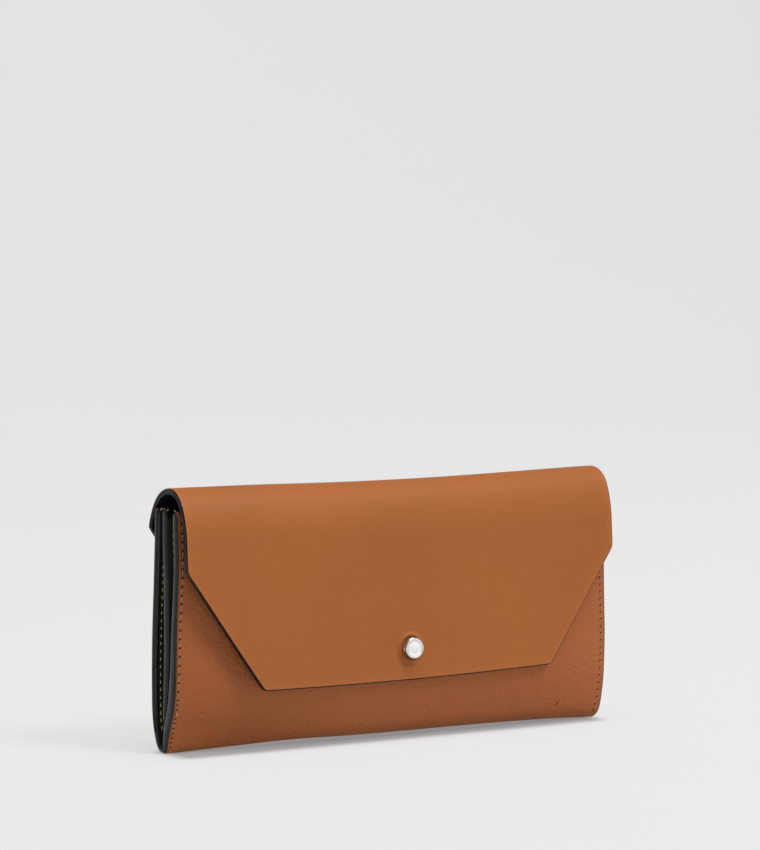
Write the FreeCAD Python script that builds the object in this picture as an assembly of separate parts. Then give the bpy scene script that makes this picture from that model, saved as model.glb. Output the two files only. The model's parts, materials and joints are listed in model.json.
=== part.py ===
"""Long envelope wallet: a folded leather body with two pockets and a zipped divider, and a snap flap.

Millimetres. X runs along the wallet, -Y is the flap side, +Z is up. The origin is on the base face,
at mid length, in the plane of the divider.
"""

import FreeCAD
import Part
import math
import os

# ---- overall ----
LENGTH = 190.0
HALF = LENGTH / 2.0
HEIGHT = 100.0
WALL_TOP = 90.0
HALF_DEPTH = 8.7
SHOULDER_Z = 16.0
BELLY_Z = 60.0
BEYOND = 120.0
MARGIN = 1.0
TOLERANCE = 0.01

# ---- leather and lining ----
PANEL = 1.6
LINING = 0.9
WALL = PANEL + LINING
FLAP_SKIN = 1.3
FLAP = FLAP_SKIN + LINING
CARD = 0.5
GAP = 0.3
SEAM = 0.1

# ---- base fold ----
BASE_FRONT = -3.2
BASE_REAR = 4.6
FOOT_FRONT = -3.6
FOOT_Z = PANEL + GAP

# ---- how far each wall bows out at mid length ----
BASE_BOW = 0.3
REAR_BOW = 2.0
FRONT_BOW = 3.0
TOP_BOW = 0.05
NEARLY_FLAT = 0.001

# ---- wall stations: height, y at the ends, bow at mid length ----
REAR_WALL = [
    (0.0, BASE_REAR, BASE_BOW),
    (SHOULDER_Z, HALF_DEPTH, REAR_BOW),
    (BELLY_Z, HALF_DEPTH, REAR_BOW),
    (WALL_TOP, HALF_DEPTH, TOP_BOW),
]
FRONT_WALL = [
    (0.0, FOOT_FRONT, -BASE_BOW),
    (SHOULDER_Z, -HALF_DEPTH, -FRONT_BOW),
    (BELLY_Z, -HALF_DEPTH, -FRONT_BOW),
    (WALL_TOP, -HALF_DEPTH, -TOP_BOW),
]

# ---- pockets ----
FRONT_HINGE_Z = 16.35
FLOOR = 1.6
POCKET_HALF = 78.0
CARD_BOTTOM = 22.0
CARD_TOPS = (84.0, 74.0, 64.0)
SLIP_TOP = 62.0

# ---- divider, a zipped coin pocket ----
LEAF = 0.6
TAPE = 0.4
DIVIDER = LEAF + TAPE
SIDE_SEAM = 5.0
ZIP_HALF = 79.0
LEAF_TOP = 84.0

# ---- gussets ----
GUSSET = 0.8
GUSSET_DEPTH = 15.0
GUSSET_TOP = 88.0

# ---- zip ----
TAPE_BOTTOM = 74.0
TAPE_TOP = 86.0
COIL_HALF = 73.0
COIL_WIDTH = 1.25
COIL_TOP = 87.4
COIL_SPLIT = 0.05
STOP_LENGTH = 1.8
END_TAB_LENGTH = 3.5
SLIDER_X = -68.0
SLIDER_LENGTH = 9.5
SLIDER_HALF = 2.6
SLIDER_BOTTOM = 84.6
SLIDER_TOP = 88.9
BRIDGE_TOP = 91.2
BRIDGE_HALF = 3.0
BRIDGE_HALF_THICK = 0.7
WINDOW_HALF = 2.0
PIN_PLAY = 0.15
PULL_Z = 89.95
PULL_PIN = 0.45
PULL_ARM = 0.6
ARM_Y = 1.3
LINK_LENGTH = 8.0
PULL_LENGTH = 20.0
TAB_HALF_WIDTH = 2.8
TAB_HALF_THICK = 0.95
TAB_CORNER_R = 1.8
TAB_WRAP = 1.0

# ---- the roll over the top: a tight crown between two slack sides ----
CROWN_R = 11.2
SIDE_R = 39.2
CROWN_HALF_ANGLE = 66.0
SEGMENTS = 3
HINGE_CUT = 0.3

# ---- flap ----
FLAP_LEAN = 4.5
FLAP_CORNER_Z = 69.3
FLAP_EDGE_Z = 24.7
FLAP_EDGE_HALF = 62.8
TAIL_CORNER_Z = 84.8
TAIL_EDGE_Z = 60.0
FLAP_CORNER_R = 4.0

# ---- snap ----
SNAP_Z = 36.5
CAP_R = 4.0
CAP_THICK = 1.6
CAP_STANDOFF = 1.9
CAP_BEVEL = 0.35
NECK_R = 2.2
POST_R = 1.3
SOCKET_R = 4.6
SOCKET_THICK = 2.4
SOCKET_BORE_R = 2.6
SOCKET_ROOF = 0.7
GROOVE_DEPTH = 0.7
GROOVE_TOP = 1.0
GROOVE_HEIGHT = 0.7
RING_PLAY = 0.1
RING_SLOT = 1.0
STUD_R = 1.9
STUD_HEIGHT = 1.6
STUD_FLANGE_R = 4.2
STUD_FLANGE = 0.3
RIVET_R = 1.2
RIVET_HEAD_R = 4.0
RIVET_HEAD = 0.5
RIVET_SEAT = 0.05
RECESS_PLAY = 0.2


def vec(x, y, z):
    return FreeCAD.Vector(x, y, z)


def box(x0, x1, y0, y1, z0, z1):
    return Part.makeBox(x1 - x0, y1 - y0, z1 - z0, vec(x0, y0, z0))


def both_ends(shape):
    """The shape and its mirror image at the other end of the wallet."""
    return Part.makeCompound([shape, shape.mirror(vec(0, 0, 0), vec(1, 0, 0))])


# ---- bowed sheets ----


def bowed_edge(y, bow, z):
    return Part.Arc(vec(-HALF, y, z), vec(0, y + bow, z), vec(HALF, y, z)).toShape()


def section(y0, bow0, y1, bow1, z):
    """A closed plan outline between two bowed lines."""
    near = bowed_edge(y0, bow0, z)
    far = bowed_edge(y1, bow1, z)
    left = Part.makeLine(vec(-HALF, y0, z), vec(-HALF, y1, z))
    right = Part.makeLine(vec(HALF, y0, z), vec(HALF, y1, z))
    return Part.Wire(Part.__sortEdges__([near, right, far, left]))


def skin(sections, z0, z1):
    """A ruled solid through plan outlines, kept between two heights."""
    solid = Part.makeLoft(sections, True, True)
    return solid.common(box(-HALF - MARGIN, HALF + MARGIN, -BEYOND, BEYOND, z0, z1))


def wall_layer(wall, outer, inner, z0, z1):
    """One layer of a wall, between two depths under its outer face."""
    sign = math.copysign(1.0, wall[-1][1])
    outlines = [section(y - sign * outer, bow, y - sign * inner, bow, z) for z, y, bow in wall]
    return skin(outlines, z0, z1)


def space_behind(wall, depth, y_end, z0, z1):
    """What lies between a depth in a wall and a flat plane."""
    sign = math.copysign(1.0, wall[-1][1])
    outlines = [section(y - sign * depth, bow, y_end, NEARLY_FLAT * sign, z) for z, y, bow in wall]
    return skin(outlines, z0, z1)


# ---- the path of the flap leather, in the YZ plane ----


def side_centre(sign):
    reach = SIDE_R - CROWN_R
    angle = math.radians(CROWN_HALF_ANGLE)
    crown_z = HEIGHT - CROWN_R
    return (-sign * reach * math.sin(angle), crown_z - reach * math.cos(angle))


def on_circle(centre, radius, degrees):
    """A point whose outward normal leans this far from straight up, + to the rear."""
    angle = math.radians(degrees)
    return vec(-HALF, centre[0] + radius * math.sin(angle), centre[1] + radius * math.cos(angle))


def ring_sector(centre, radius, start, end, outer, inner):
    """A closed outline between two depths under an arc."""
    middle = (start + end) / 2.0
    top = [on_circle(centre, radius - outer, a) for a in (start, middle, end)]
    low = [on_circle(centre, radius - inner, a) for a in (end, middle, start)]
    edges = [
        Part.Arc(*top).toShape(),
        Part.makeLine(top[2], low[0]),
        Part.Arc(*low).toShape(),
        Part.makeLine(low[2], top[0]),
    ]
    return Part.Wire(edges)


def along_x(wire):
    return Part.Face(wire).extrude(vec(LENGTH, 0, 0))


CROWN = (0.0, HEIGHT - CROWN_R)
REAR_SIDE = side_centre(1)
FRONT_SIDE = side_centre(-1)
CUT_ANGLE = math.degrees(HINGE_CUT / 2.0 / CROWN_R)
FLAP_START = on_circle(FRONT_SIDE, SIDE_R, -90.0 + FLAP_LEAN)


def flap_y(z):
    """The flap's outer face at a height below the roll."""
    return FLAP_START.y - (FLAP_START.z - z) * math.tan(math.radians(FLAP_LEAN))


def side_cut(corner_z, edge_z):
    """What the slanted ends leave of the flap leather, seen from the front."""
    slope = (HALF - FLAP_EDGE_HALF) / (FLAP_CORNER_Z - FLAP_EDGE_Z)
    low = HALF - slope * (corner_z - edge_z)
    left = [(-HALF, BEYOND), (-HALF, corner_z), (-low, edge_z)]
    right = [(-x, z) for x, z in reversed(left)]
    points = [vec(x, -BEYOND, z) for x, z in left + right]
    return Part.Face(Part.makePolygon(points + points[:1])).extrude(vec(0, 2 * BEYOND, 0))


def roll_layer(index, outer, inner):
    step = 2.0 * CROWN_HALF_ANGLE / SEGMENTS
    start = CROWN_HALF_ANGLE - index * step
    return along_x(ring_sector(CROWN, CROWN_R, start - CUT_ANGLE, start - step + CUT_ANGLE, outer, inner))


def tail_layer(outer, inner):
    """The flap leather sewn to the back, up to the first hinge."""
    side_z = REAR_SIDE[1]
    side_y = REAR_SIDE[0] + SIDE_R
    wall_y = HALF_DEPTH + SEAM + FLAP
    sewn = [
        section(wall_y - outer, REAR_BOW, wall_y - inner, REAR_BOW, TAIL_EDGE_Z),
        section(side_y - outer, NEARLY_FLAT, side_y - inner, NEARLY_FLAT, side_z),
    ]
    leaning = Part.makeLoft(sewn, True, True)
    cut = math.degrees(HINGE_CUT / 2.0 / SIDE_R)
    rising = along_x(ring_sector(REAR_SIDE, SIDE_R, 90.0, CROWN_HALF_ANGLE + cut, outer, inner))
    return leaning.fuse(rising).common(side_cut(TAIL_CORNER_Z, TAIL_EDGE_Z))


def flap_layer(outer, inner):
    """The front of the flap leather, from the last hinge down."""
    cut = math.degrees(HINGE_CUT / 2.0 / SIDE_R)
    end = -90.0 + FLAP_LEAN
    falling = along_x(ring_sector(FRONT_SIDE, SIDE_R, -CROWN_HALF_ANGLE - cut, end, outer, inner))
    lean = math.radians(FLAP_LEAN)
    down = vec(0, -math.sin(lean), -math.cos(lean)) * BEYOND
    top_out = on_circle(FRONT_SIDE, SIDE_R - outer, end)
    top_in = on_circle(FRONT_SIDE, SIDE_R - inner, end)
    straight = along_x(Part.makePolygon([top_out, top_out + down, top_in + down, top_in, top_out]))
    outline = side_cut(FLAP_CORNER_Z, FLAP_EDGE_Z)
    corners = [e for e in outline.Edges if is_lower_corner(e)]
    return falling.fuse(straight).common(outline.makeFillet(FLAP_CORNER_R, corners))


def is_lower_corner(edge):
    ends = [v.Point for v in edge.Vertexes]
    level = all(abs(p.z - FLAP_EDGE_Z) < TOLERANCE for p in ends)
    return level and abs(ends[0].x - ends[1].x) < TOLERANCE


# ---- body walls ----


def back_panel():
    base = box(-HALF, HALF, BASE_FRONT, BASE_REAR, 0, PANEL)
    return wall_layer(REAR_WALL, 0, PANEL, 0, WALL_TOP).fuse(base).removeSplitter()


def back_lining():
    return wall_layer(REAR_WALL, PANEL, WALL, PANEL, WALL_TOP)


def card_row(index):
    depth = WALL + CARD * index
    layer = wall_layer(REAR_WALL, depth, depth + CARD, CARD_BOTTOM, CARD_TOPS[index])
    return layer.common(box(-POCKET_HALF, POCKET_HALF, 0, BEYOND, 0, WALL_TOP))


def front_panel(tools):
    return wall_layer(FRONT_WALL, 0, PANEL, FRONT_HINGE_Z + GAP / 2, WALL_TOP).cut(tools)


def front_lining(tools):
    return wall_layer(FRONT_WALL, PANEL, WALL, FRONT_HINGE_Z + GAP / 2, WALL_TOP).cut(tools)


def slip_pocket():
    layer = wall_layer(FRONT_WALL, WALL, WALL + CARD, CARD_BOTTOM, SLIP_TOP)
    return layer.common(box(-POCKET_HALF, POCKET_HALF, -BEYOND, 0, 0, WALL_TOP))


def front_foot():
    return wall_layer(FRONT_WALL, 0, PANEL, FOOT_Z, FRONT_HINGE_Z - GAP / 2)


def front_foot_lining():
    return wall_layer(FRONT_WALL, PANEL, WALL, FOOT_Z, FRONT_HINGE_Z - GAP / 2)


def pocket_floor():
    top = FRONT_HINGE_Z - GAP / 2
    return space_behind(FRONT_WALL, WALL, DIVIDER, top - FLOOR, top)


def gusset(wall, end):
    """A leaf on the wall, a leaf on the divider and the fold between them."""
    side = math.copysign(1.0, wall[-1][1])
    z0 = FRONT_HINGE_Z + GAP / 2
    whole = space_behind(wall, WALL, side * DIVIDER, z0, GUSSET_TOP)
    hollow = space_behind(wall, WALL + GUSSET, side * (DIVIDER + GUSSET), z0 - MARGIN, GUSSET_TOP + MARGIN)
    fold = HALF - GUSSET_DEPTH
    near = sorted((end * (fold - GUSSET), end * HALF))
    clear = sorted((end * fold, end * (HALF + MARGIN)))
    shell = whole.common(box(near[0], near[1], -BEYOND, BEYOND, 0, WALL_TOP))
    return shell.cut(hollow.common(box(clear[0], clear[1], -BEYOND, BEYOND, 0, WALL_TOP)))


# ---- divider and zip ----


def coin_leaf(side):
    y0, y1 = sorted((side * TAPE, side * DIVIDER))
    s0, s1 = sorted((0, side * TAPE))
    floor = FRONT_HINGE_Z - GAP / 2
    leaf = box(-HALF, HALF, y0, y1, floor, WALL_TOP)
    leaf = leaf.cut(box(-ZIP_HALF, ZIP_HALF, y0 - MARGIN, y1 + MARGIN, LEAF_TOP, WALL_TOP + MARGIN))
    for end in (-1, 1):
        x0, x1 = sorted((end * (HALF - SIDE_SEAM), end * HALF))
        leaf = leaf.fuse(box(x0, x1, s0, s1, floor, WALL_TOP))
    return leaf.removeSplitter()


def zip_tape(side):
    y0, y1 = sorted((0, side * TAPE))
    return box(-ZIP_HALF, ZIP_HALF, y0, y1, TAPE_BOTTOM, TAPE_TOP)


def zip_coil(side):
    y0, y1 = sorted((side * COIL_SPLIT, side * COIL_WIDTH))
    return box(-COIL_HALF, COIL_HALF, y0, y1, TAPE_TOP, COIL_TOP)


def zip_stop(end):
    x0, x1 = sorted((end * (COIL_HALF + 0.2), end * (COIL_HALF + 0.2 + STOP_LENGTH)))
    return box(x0, x1, -COIL_WIDTH, COIL_WIDTH, TAPE_TOP, COIL_TOP)


def zip_end_tabs():
    start = ZIP_HALF - END_TAB_LENGTH
    width = DIVIDER + TAPE
    tab = box(start, ZIP_HALF, -width, width, LEAF_TOP, GUSSET_TOP)
    slot = box(start - MARGIN, ZIP_HALF + MARGIN, -TAPE, TAPE, LEAF_TOP - MARGIN, TAPE_TOP)
    return both_ends(tab.cut(slot))


def zip_slider():
    half = SLIDER_LENGTH / 2.0
    x0, x1 = SLIDER_X - half, SLIDER_X + half
    body = box(x0, x1, -SLIDER_HALF, SLIDER_HALF, SLIDER_BOTTOM, SLIDER_TOP)
    channel = COIL_WIDTH + GAP
    body = body.cut(box(x0 - MARGIN, x1 + MARGIN, -channel, channel, TAPE_TOP - GAP, COIL_TOP + GAP))
    throat = TAPE + GAP
    body = body.cut(box(x0 - MARGIN, x1 + MARGIN, -throat, throat, SLIDER_BOTTOM - MARGIN, TAPE_TOP))
    near, far = SLIDER_X - BRIDGE_HALF, SLIDER_X + BRIDGE_HALF
    bridge = box(near, far, -BRIDGE_HALF_THICK, BRIDGE_HALF_THICK, SLIDER_TOP, BRIDGE_TOP)
    play = PULL_PIN + PIN_PLAY
    near, far = SLIDER_X - WINDOW_HALF, SLIDER_X + WINDOW_HALF
    bridge = bridge.cut(box(near, far, -MARGIN, MARGIN, PULL_Z - play, PULL_Z + play))
    return body.fuse(bridge).removeSplitter()


def pull_link():
    """A wire loop: a cross pin in the slider's bridge, two arms and a bar that holds the leather tab."""
    reach = SLIDER_X + LINK_LENGTH
    outer = ARM_Y + PULL_ARM
    low, high = PULL_Z - PULL_PIN, PULL_Z + PULL_PIN
    pin = Part.makeCylinder(PULL_PIN, 2 * outer, vec(SLIDER_X, -outer, PULL_Z), vec(0, 1, 0))
    bar = box(reach - PULL_ARM, reach, -outer, outer, low, high)
    link = pin.fuse(bar)
    for y0 in (ARM_Y, -outer):
        link = link.fuse(box(SLIDER_X, reach, y0, y0 + PULL_ARM, low, high))
    return link.removeSplitter()


def pull_tab():
    """A narrow leather strip folded round the link's bar."""
    link_end = SLIDER_X + LINK_LENGTH
    start = link_end - 2 * PULL_ARM - TAB_WRAP
    end = SLIDER_X + PULL_LENGTH
    low, high = PULL_Z - TAB_HALF_THICK, PULL_Z + TAB_HALF_THICK
    strip = box(start, end, -TAB_HALF_WIDTH, TAB_HALF_WIDTH, low, high)
    ends = [e for e in strip.Edges if abs(e.BoundBox.XMin - end) < TOLERANCE and e.BoundBox.ZLength > MARGIN]
    strip = strip.makeFillet(TAB_CORNER_R, ends)
    root = strip.common(box(start, link_end, -ARM_Y, ARM_Y, low, high))
    body = strip.common(box(link_end, end, -TAB_HALF_WIDTH, TAB_HALF_WIDTH, low, high))
    return root.fuse(body).cut(pull_link()).removeSplitter()


# ---- snap ----


def turned(radius, start, end, origin, axis):
    """A cylinder between two distances along an axis."""
    return Part.makeCylinder(radius, end - start, origin + axis * start, axis)


def flap_axis():
    """The flap's outer face at the snap and its outward normal."""
    lean = math.radians(FLAP_LEAN)
    return vec(0, flap_y(SNAP_Z), SNAP_Z), vec(0, -math.cos(lean), math.sin(lean))


def snap_cap():
    origin, axis = flap_axis()
    face = CAP_STANDOFF + CAP_THICK
    rim = turned(CAP_R, CAP_STANDOFF, face, origin, axis)
    rounds = [e for e in rim.Edges if e.Closed and e.Length < 2 * math.pi * CAP_R + MARGIN]
    cap = rim.makeChamfer(CAP_BEVEL, rounds)
    neck = turned(NECK_R, 0, CAP_STANDOFF, origin, axis)
    post = turned(POST_R, -FLAP - SOCKET_ROOF, 0, origin, axis)
    return cap.fuse(neck).fuse(post).removeSplitter()


def snap_socket():
    origin, axis = flap_axis()
    body = turned(SOCKET_R, -FLAP - SOCKET_THICK, -FLAP, origin, axis)
    bore = turned(SOCKET_BORE_R, -FLAP - SOCKET_THICK - MARGIN, -FLAP - SOCKET_ROOF, origin, axis)
    post_hole = turned(POST_R, -FLAP - SOCKET_ROOF - MARGIN, -FLAP + MARGIN, origin, axis)
    roof = -FLAP - GROOVE_TOP
    groove = turned(SOCKET_BORE_R + GROOVE_DEPTH, roof - GROOVE_HEIGHT, roof, origin, axis)
    return body.cut(bore).cut(post_hole).cut(groove)


def snap_spring():
    """The split ring that grips the stud, in the socket's groove."""
    origin, axis = flap_axis()
    high = -FLAP - GROOVE_TOP - RING_PLAY
    low = -FLAP - GROOVE_TOP - GROOVE_HEIGHT + RING_PLAY
    ring = turned(SOCKET_BORE_R + GROOVE_DEPTH - RING_PLAY, low, high, origin, axis)
    ring = ring.cut(turned(SOCKET_BORE_R, low - MARGIN, high + MARGIN, origin, axis))
    return ring.cut(box(-RING_SLOT / 2, RING_SLOT / 2, -BEYOND, 0, SNAP_Z, SNAP_Z + 2 * SOCKET_R))


def snap_hole():
    """The post's hole through the flap leather and its lining."""
    origin, axis = flap_axis()
    return turned(POST_R, -FLAP - MARGIN, MARGIN, origin, axis)


def stud_seat():
    """The front panel's outer face under the snap, with the socket's slant allowed for."""
    drop = (FLAP + SOCKET_THICK) * math.sin(math.radians(FLAP_LEAN))
    return vec(0, -HALF_DEPTH - FRONT_BOW, SNAP_Z - drop), vec(0, -1, 0)


def snap_stud():
    origin, axis = stud_seat()
    flange = turned(STUD_FLANGE_R, 0, STUD_FLANGE, origin, axis)
    head = turned(STUD_R, STUD_FLANGE, STUD_FLANGE + STUD_HEIGHT, origin, axis)
    return flange.fuse(head).removeSplitter()


def snap_rivet():
    """Holds the stud from inside the front panel, under the lining."""
    origin, axis = stud_seat()
    seat = -PANEL - RIVET_SEAT
    shank = turned(RIVET_R, seat, 0, origin, axis)
    head = turned(RIVET_HEAD_R, seat - RIVET_HEAD, seat, origin, axis)
    return shank.fuse(head).removeSplitter()


def rivet_hole():
    origin, axis = stud_seat()
    return turned(RIVET_R, -PANEL - MARGIN, MARGIN, origin, axis)


def rivet_recess():
    origin, axis = stud_seat()
    return turned(RIVET_HEAD_R + RECESS_PLAY, -WALL - MARGIN, -PANEL + RECESS_PLAY, origin, axis)


def build():
    """Every piece by its name."""
    parts = {
        "back_panel": back_panel(),
        "back_lining": back_lining(),
        "tail_leather": tail_layer(0, FLAP_SKIN),
        "tail_lining": tail_layer(FLAP_SKIN, FLAP),
        "front_foot": front_foot(),
        "front_foot_lining": front_foot_lining(),
        "front_pocket_floor": pocket_floor(),
        "front_panel": front_panel(rivet_hole()),
        "front_lining": front_lining(rivet_recess()),
        "front_slip_pocket": slip_pocket(),
        "zip_end_tabs": zip_end_tabs(),
        "zip_slider": zip_slider(),
        "pull_link": pull_link(),
        "pull_tab": pull_tab(),
        "flap_leather": flap_layer(0, FLAP_SKIN).cut(snap_hole()),
        "flap_lining": flap_layer(FLAP_SKIN, FLAP).cut(snap_hole()),
        "snap_cap": snap_cap(),
        "snap_socket": snap_socket(),
        "snap_spring": snap_spring(),
        "snap_stud": snap_stud(),
        "snap_rivet": snap_rivet(),
    }
    for index in range(len(CARD_TOPS)):
        parts[f"card_row_{index + 1}"] = card_row(index)
    for index in range(SEGMENTS):
        parts[f"roll_leather_{index + 1}"] = roll_layer(index, 0, FLAP_SKIN)
        parts[f"roll_lining_{index + 1}"] = roll_layer(index, FLAP_SKIN, FLAP)
    for name, side in (("rear", 1), ("front", -1)):
        parts[f"coin_leaf_{name}"] = coin_leaf(side)
        parts[f"zip_tape_{name}"] = zip_tape(side)
        parts[f"zip_coil_{name}"] = zip_coil(side)
    for name, end in (("left", -1), ("right", 1)):
        parts[f"zip_stop_{name}"] = zip_stop(end)
        parts[f"gusset_rear_{name}"] = gusset(REAR_WALL, end)
        parts[f"gusset_front_{name}"] = gusset(FRONT_WALL, end)
    return parts


def main():
    os.makedirs("parts", exist_ok=True)
    for name, shape in build().items():
        shape.exportStep(f"parts/{name}.step")
        print(name, len(shape.Solids), shape.isValid(), round(shape.Volume, 1))


main()
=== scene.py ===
"""Looks of the long envelope wallet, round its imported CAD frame. Lengths are in mm until a mesh is made."""

import json
import math
import random

import bmesh
import bpy
import numpy as np
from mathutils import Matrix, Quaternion, Vector


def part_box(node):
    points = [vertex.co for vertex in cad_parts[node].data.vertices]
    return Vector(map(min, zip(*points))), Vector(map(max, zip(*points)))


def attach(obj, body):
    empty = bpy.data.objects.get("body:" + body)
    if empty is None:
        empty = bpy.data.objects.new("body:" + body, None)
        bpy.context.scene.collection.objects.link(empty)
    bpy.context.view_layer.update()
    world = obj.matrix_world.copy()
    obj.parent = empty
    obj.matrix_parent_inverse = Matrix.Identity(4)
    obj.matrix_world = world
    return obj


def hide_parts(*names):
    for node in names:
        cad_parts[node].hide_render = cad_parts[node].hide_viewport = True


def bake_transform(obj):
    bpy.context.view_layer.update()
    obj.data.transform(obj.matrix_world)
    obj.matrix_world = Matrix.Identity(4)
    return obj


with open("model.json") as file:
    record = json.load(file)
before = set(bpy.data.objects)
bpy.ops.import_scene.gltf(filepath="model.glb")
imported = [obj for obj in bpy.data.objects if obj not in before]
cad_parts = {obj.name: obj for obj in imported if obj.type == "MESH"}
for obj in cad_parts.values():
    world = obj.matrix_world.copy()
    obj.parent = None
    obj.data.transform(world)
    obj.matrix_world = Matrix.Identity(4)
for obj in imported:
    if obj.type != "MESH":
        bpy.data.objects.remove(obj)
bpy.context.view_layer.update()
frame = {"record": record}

MM = 0.001
random.seed(7)

# ---- sizes from the frame


def node_box(name):
    low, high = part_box(name)
    return np.array(low) / MM, np.array(high) / MM


HINGES = {j["name"]: j for j in frame["record"]["behaviour"]["joints"]}


def hinge_yz(name):
    return np.array(HINGES[name]["pos_m"][1:]) / MM


BACK_HIGH = node_box("back_panel")[1]
CAP_R = node_box("snap_cap")[1][0]
STUD_MID_Z = sum(corner[2] for corner in node_box("snap_stud")) / 2
HALF = BACK_HIGH[0]
WALL_TOP = BACK_HIGH[2]

# the roll's crown passes through the four hinges
FIRST, SECOND = hinge_yz("flap_open"), hinge_yz("roll_bend_2")
CROWN_Z = (FIRST @ FIRST - SECOND @ SECOND) / (2 * (FIRST[1] - SECOND[1]))
CROWN_R = math.hypot(FIRST[0], FIRST[1] - CROWN_Z)
CROWN_END = math.degrees(math.atan2(FIRST[0], FIRST[1] - CROWN_Z))
SIDE_R = 39.2
FLAP_LEAN = 4.5

# thicknesses
PANEL = 1.6
WALL = 2.5
FLAP_SKIN = 1.3
FLAP = 2.2
GUSSET = 0.8

# flap outline
FLAP_EDGE_Z = 24.7
FLAP_CORNER_Z = 69.3
FLAP_EDGE_HALF = 63.8
TAIL_CORNER_Z = 84.0
TAIL_EDGE_Z = 60.0
SLANT = (HALF - FLAP_EDGE_HALF) / (FLAP_CORNER_Z - FLAP_EDGE_Z)
CORNER_R = 1.3
SNAP_Z = 36.5


def smooth(t):
    t = np.clip(t, 0.0, 1.0)
    return t * t * (3 - 2 * t)


def mid(x, power=2):
    """1 at mid length, 0 at the wallet's ends."""
    return 1 - (np.clip(np.abs(x), 0, HALF) / HALF) ** power


# ---- meshes


def link(obj):
    bpy.context.scene.collection.objects.link(obj)
    return obj


CREASE = 35


def mesh_piece(name, points, faces, material, normals=None):
    """A mesh object from points in mm. Normals are one per face corner, or None for creases past CREASE."""
    mesh = bpy.data.meshes.new(name)
    mesh.from_pydata([tuple(p) for p in np.asarray(points) * MM], [], faces)
    mesh.validate()
    mesh.polygons.foreach_set("use_smooth", [True] * len(mesh.polygons))
    mesh.materials.append(material)
    if normals is None:
        mesh.set_sharp_from_angle(angle=math.radians(CREASE))
    else:
        mesh.normals_split_custom_set(normals)
    return link(bpy.data.objects.new(name, mesh))


def grid_faces(rows, cols, start=0, flip=False):
    faces = []
    for i in range(rows - 1):
        for j in range(cols - 1):
            a = start + i * cols + j
            quad = (a, a + 1, a + cols + 1, a + cols)
            faces.append(quad[::-1] if flip else quad)
    return faces


def surface_normals(surface, u, v):
    """Unit normals of surface(u, v) by small differences."""
    e = 1e-3
    du = surface(u + e, v) - surface(u - e, v)
    dv = surface(u, v + e) - surface(u, v - e)
    return unit(np.cross(du, dv))


def slab(name, surface, us, vs, top, bottom, material, sign=1.0, rim=None):
    """A closed sheet between two depths under surface(u, v). sign turns the normals outwards."""
    u, v = np.meshgrid(us, vs, indexing="ij")
    outer = surface(u, v)
    n = surface_normals(surface, u, v) * sign
    rows, cols = len(us), len(vs)
    count = rows * cols
    depth = top(u, v)[..., None] if callable(top) else top
    points = np.concatenate([(outer - n * depth).reshape(-1, 3), (outer - n * bottom).reshape(-1, 3)])
    flip = sign > 0
    faces = grid_faces(rows, cols, 0, flip) + grid_faces(rows, cols, count, not flip)
    n_flat = n.reshape(-1, 3)
    n_top = n_flat
    if callable(top):
        du = np.gradient(points[:count].reshape(rows, cols, 3), axis=0)
        dv = np.gradient(points[:count].reshape(rows, cols, 3), axis=1)
        n_top = unit(np.cross(du, dv)).reshape(-1, 3) * sign
    normals = [n_top[k] for f in faces[: len(faces) // 2] for k in f]
    normals += [-n_flat[k - count] for f in faces[len(faces) // 2 :] for k in f]
    loop = list(range(cols)) + [i * cols + cols - 1 for i in range(1, rows)]
    loop += [(rows - 1) * cols + j for j in range(cols - 2, -1, -1)]
    loop += [i * cols for i in range(rows - 2, 0, -1)]
    for k, a in enumerate(loop):
        b = loop[(k + 1) % len(loop)]
        quad = (a, a + count, b + count, b)
        quad = quad[::-1] if flip else quad
        faces.append(quad)
        p = points[list(quad)]
        normals += [unit(np.cross(p[2] - p[0], p[3] - p[1]))] * 4
    obj = mesh_piece(name, points, faces, material, normals)
    if rim is not None:
        # edge share for the leather's edge line: wear, and on the flap leather also a painted highlight
        edge_wear_and_highlight = np.tile(rim(u, v).reshape(-1), 2).astype(np.float32)
        obj.data.attributes.new("rim", "FLOAT", "POINT").data.foreach_set("value", edge_wear_and_highlight)
    return obj


def sweep(name, sections, material, closed=False):
    """A tube through rings of points, with flat ends unless it closes on itself."""
    rings, size = len(sections), len(sections[0])
    points = np.concatenate(sections)
    faces = []
    for i in range(rings if closed else rings - 1):
        a, b = i * size, ((i + 1) % rings) * size
        for j in range(size):
            k = (j + 1) % size
            faces.append((a + j, a + k, b + k, b + j))
    if not closed:
        faces.append(tuple(range(size))[::-1])
        faces.append(tuple((rings - 1) * size + j for j in range(size)))
    return mesh_piece(name, points, faces, material)


def unit(a):
    return a / np.maximum(np.linalg.norm(a, axis=-1, keepdims=True), 1e-9)


def run_along(points):
    """Path length at each point."""
    return np.concatenate([[0], np.cumsum(np.linalg.norm(np.diff(points, axis=0), axis=1))])


# a painted edge's cross-section: a little fuller than round, with a groove between two layers
EDGE_POWER = 0.9
SEAM_DEPTH, SEAM_HALF = 0.94, 0.2


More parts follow.
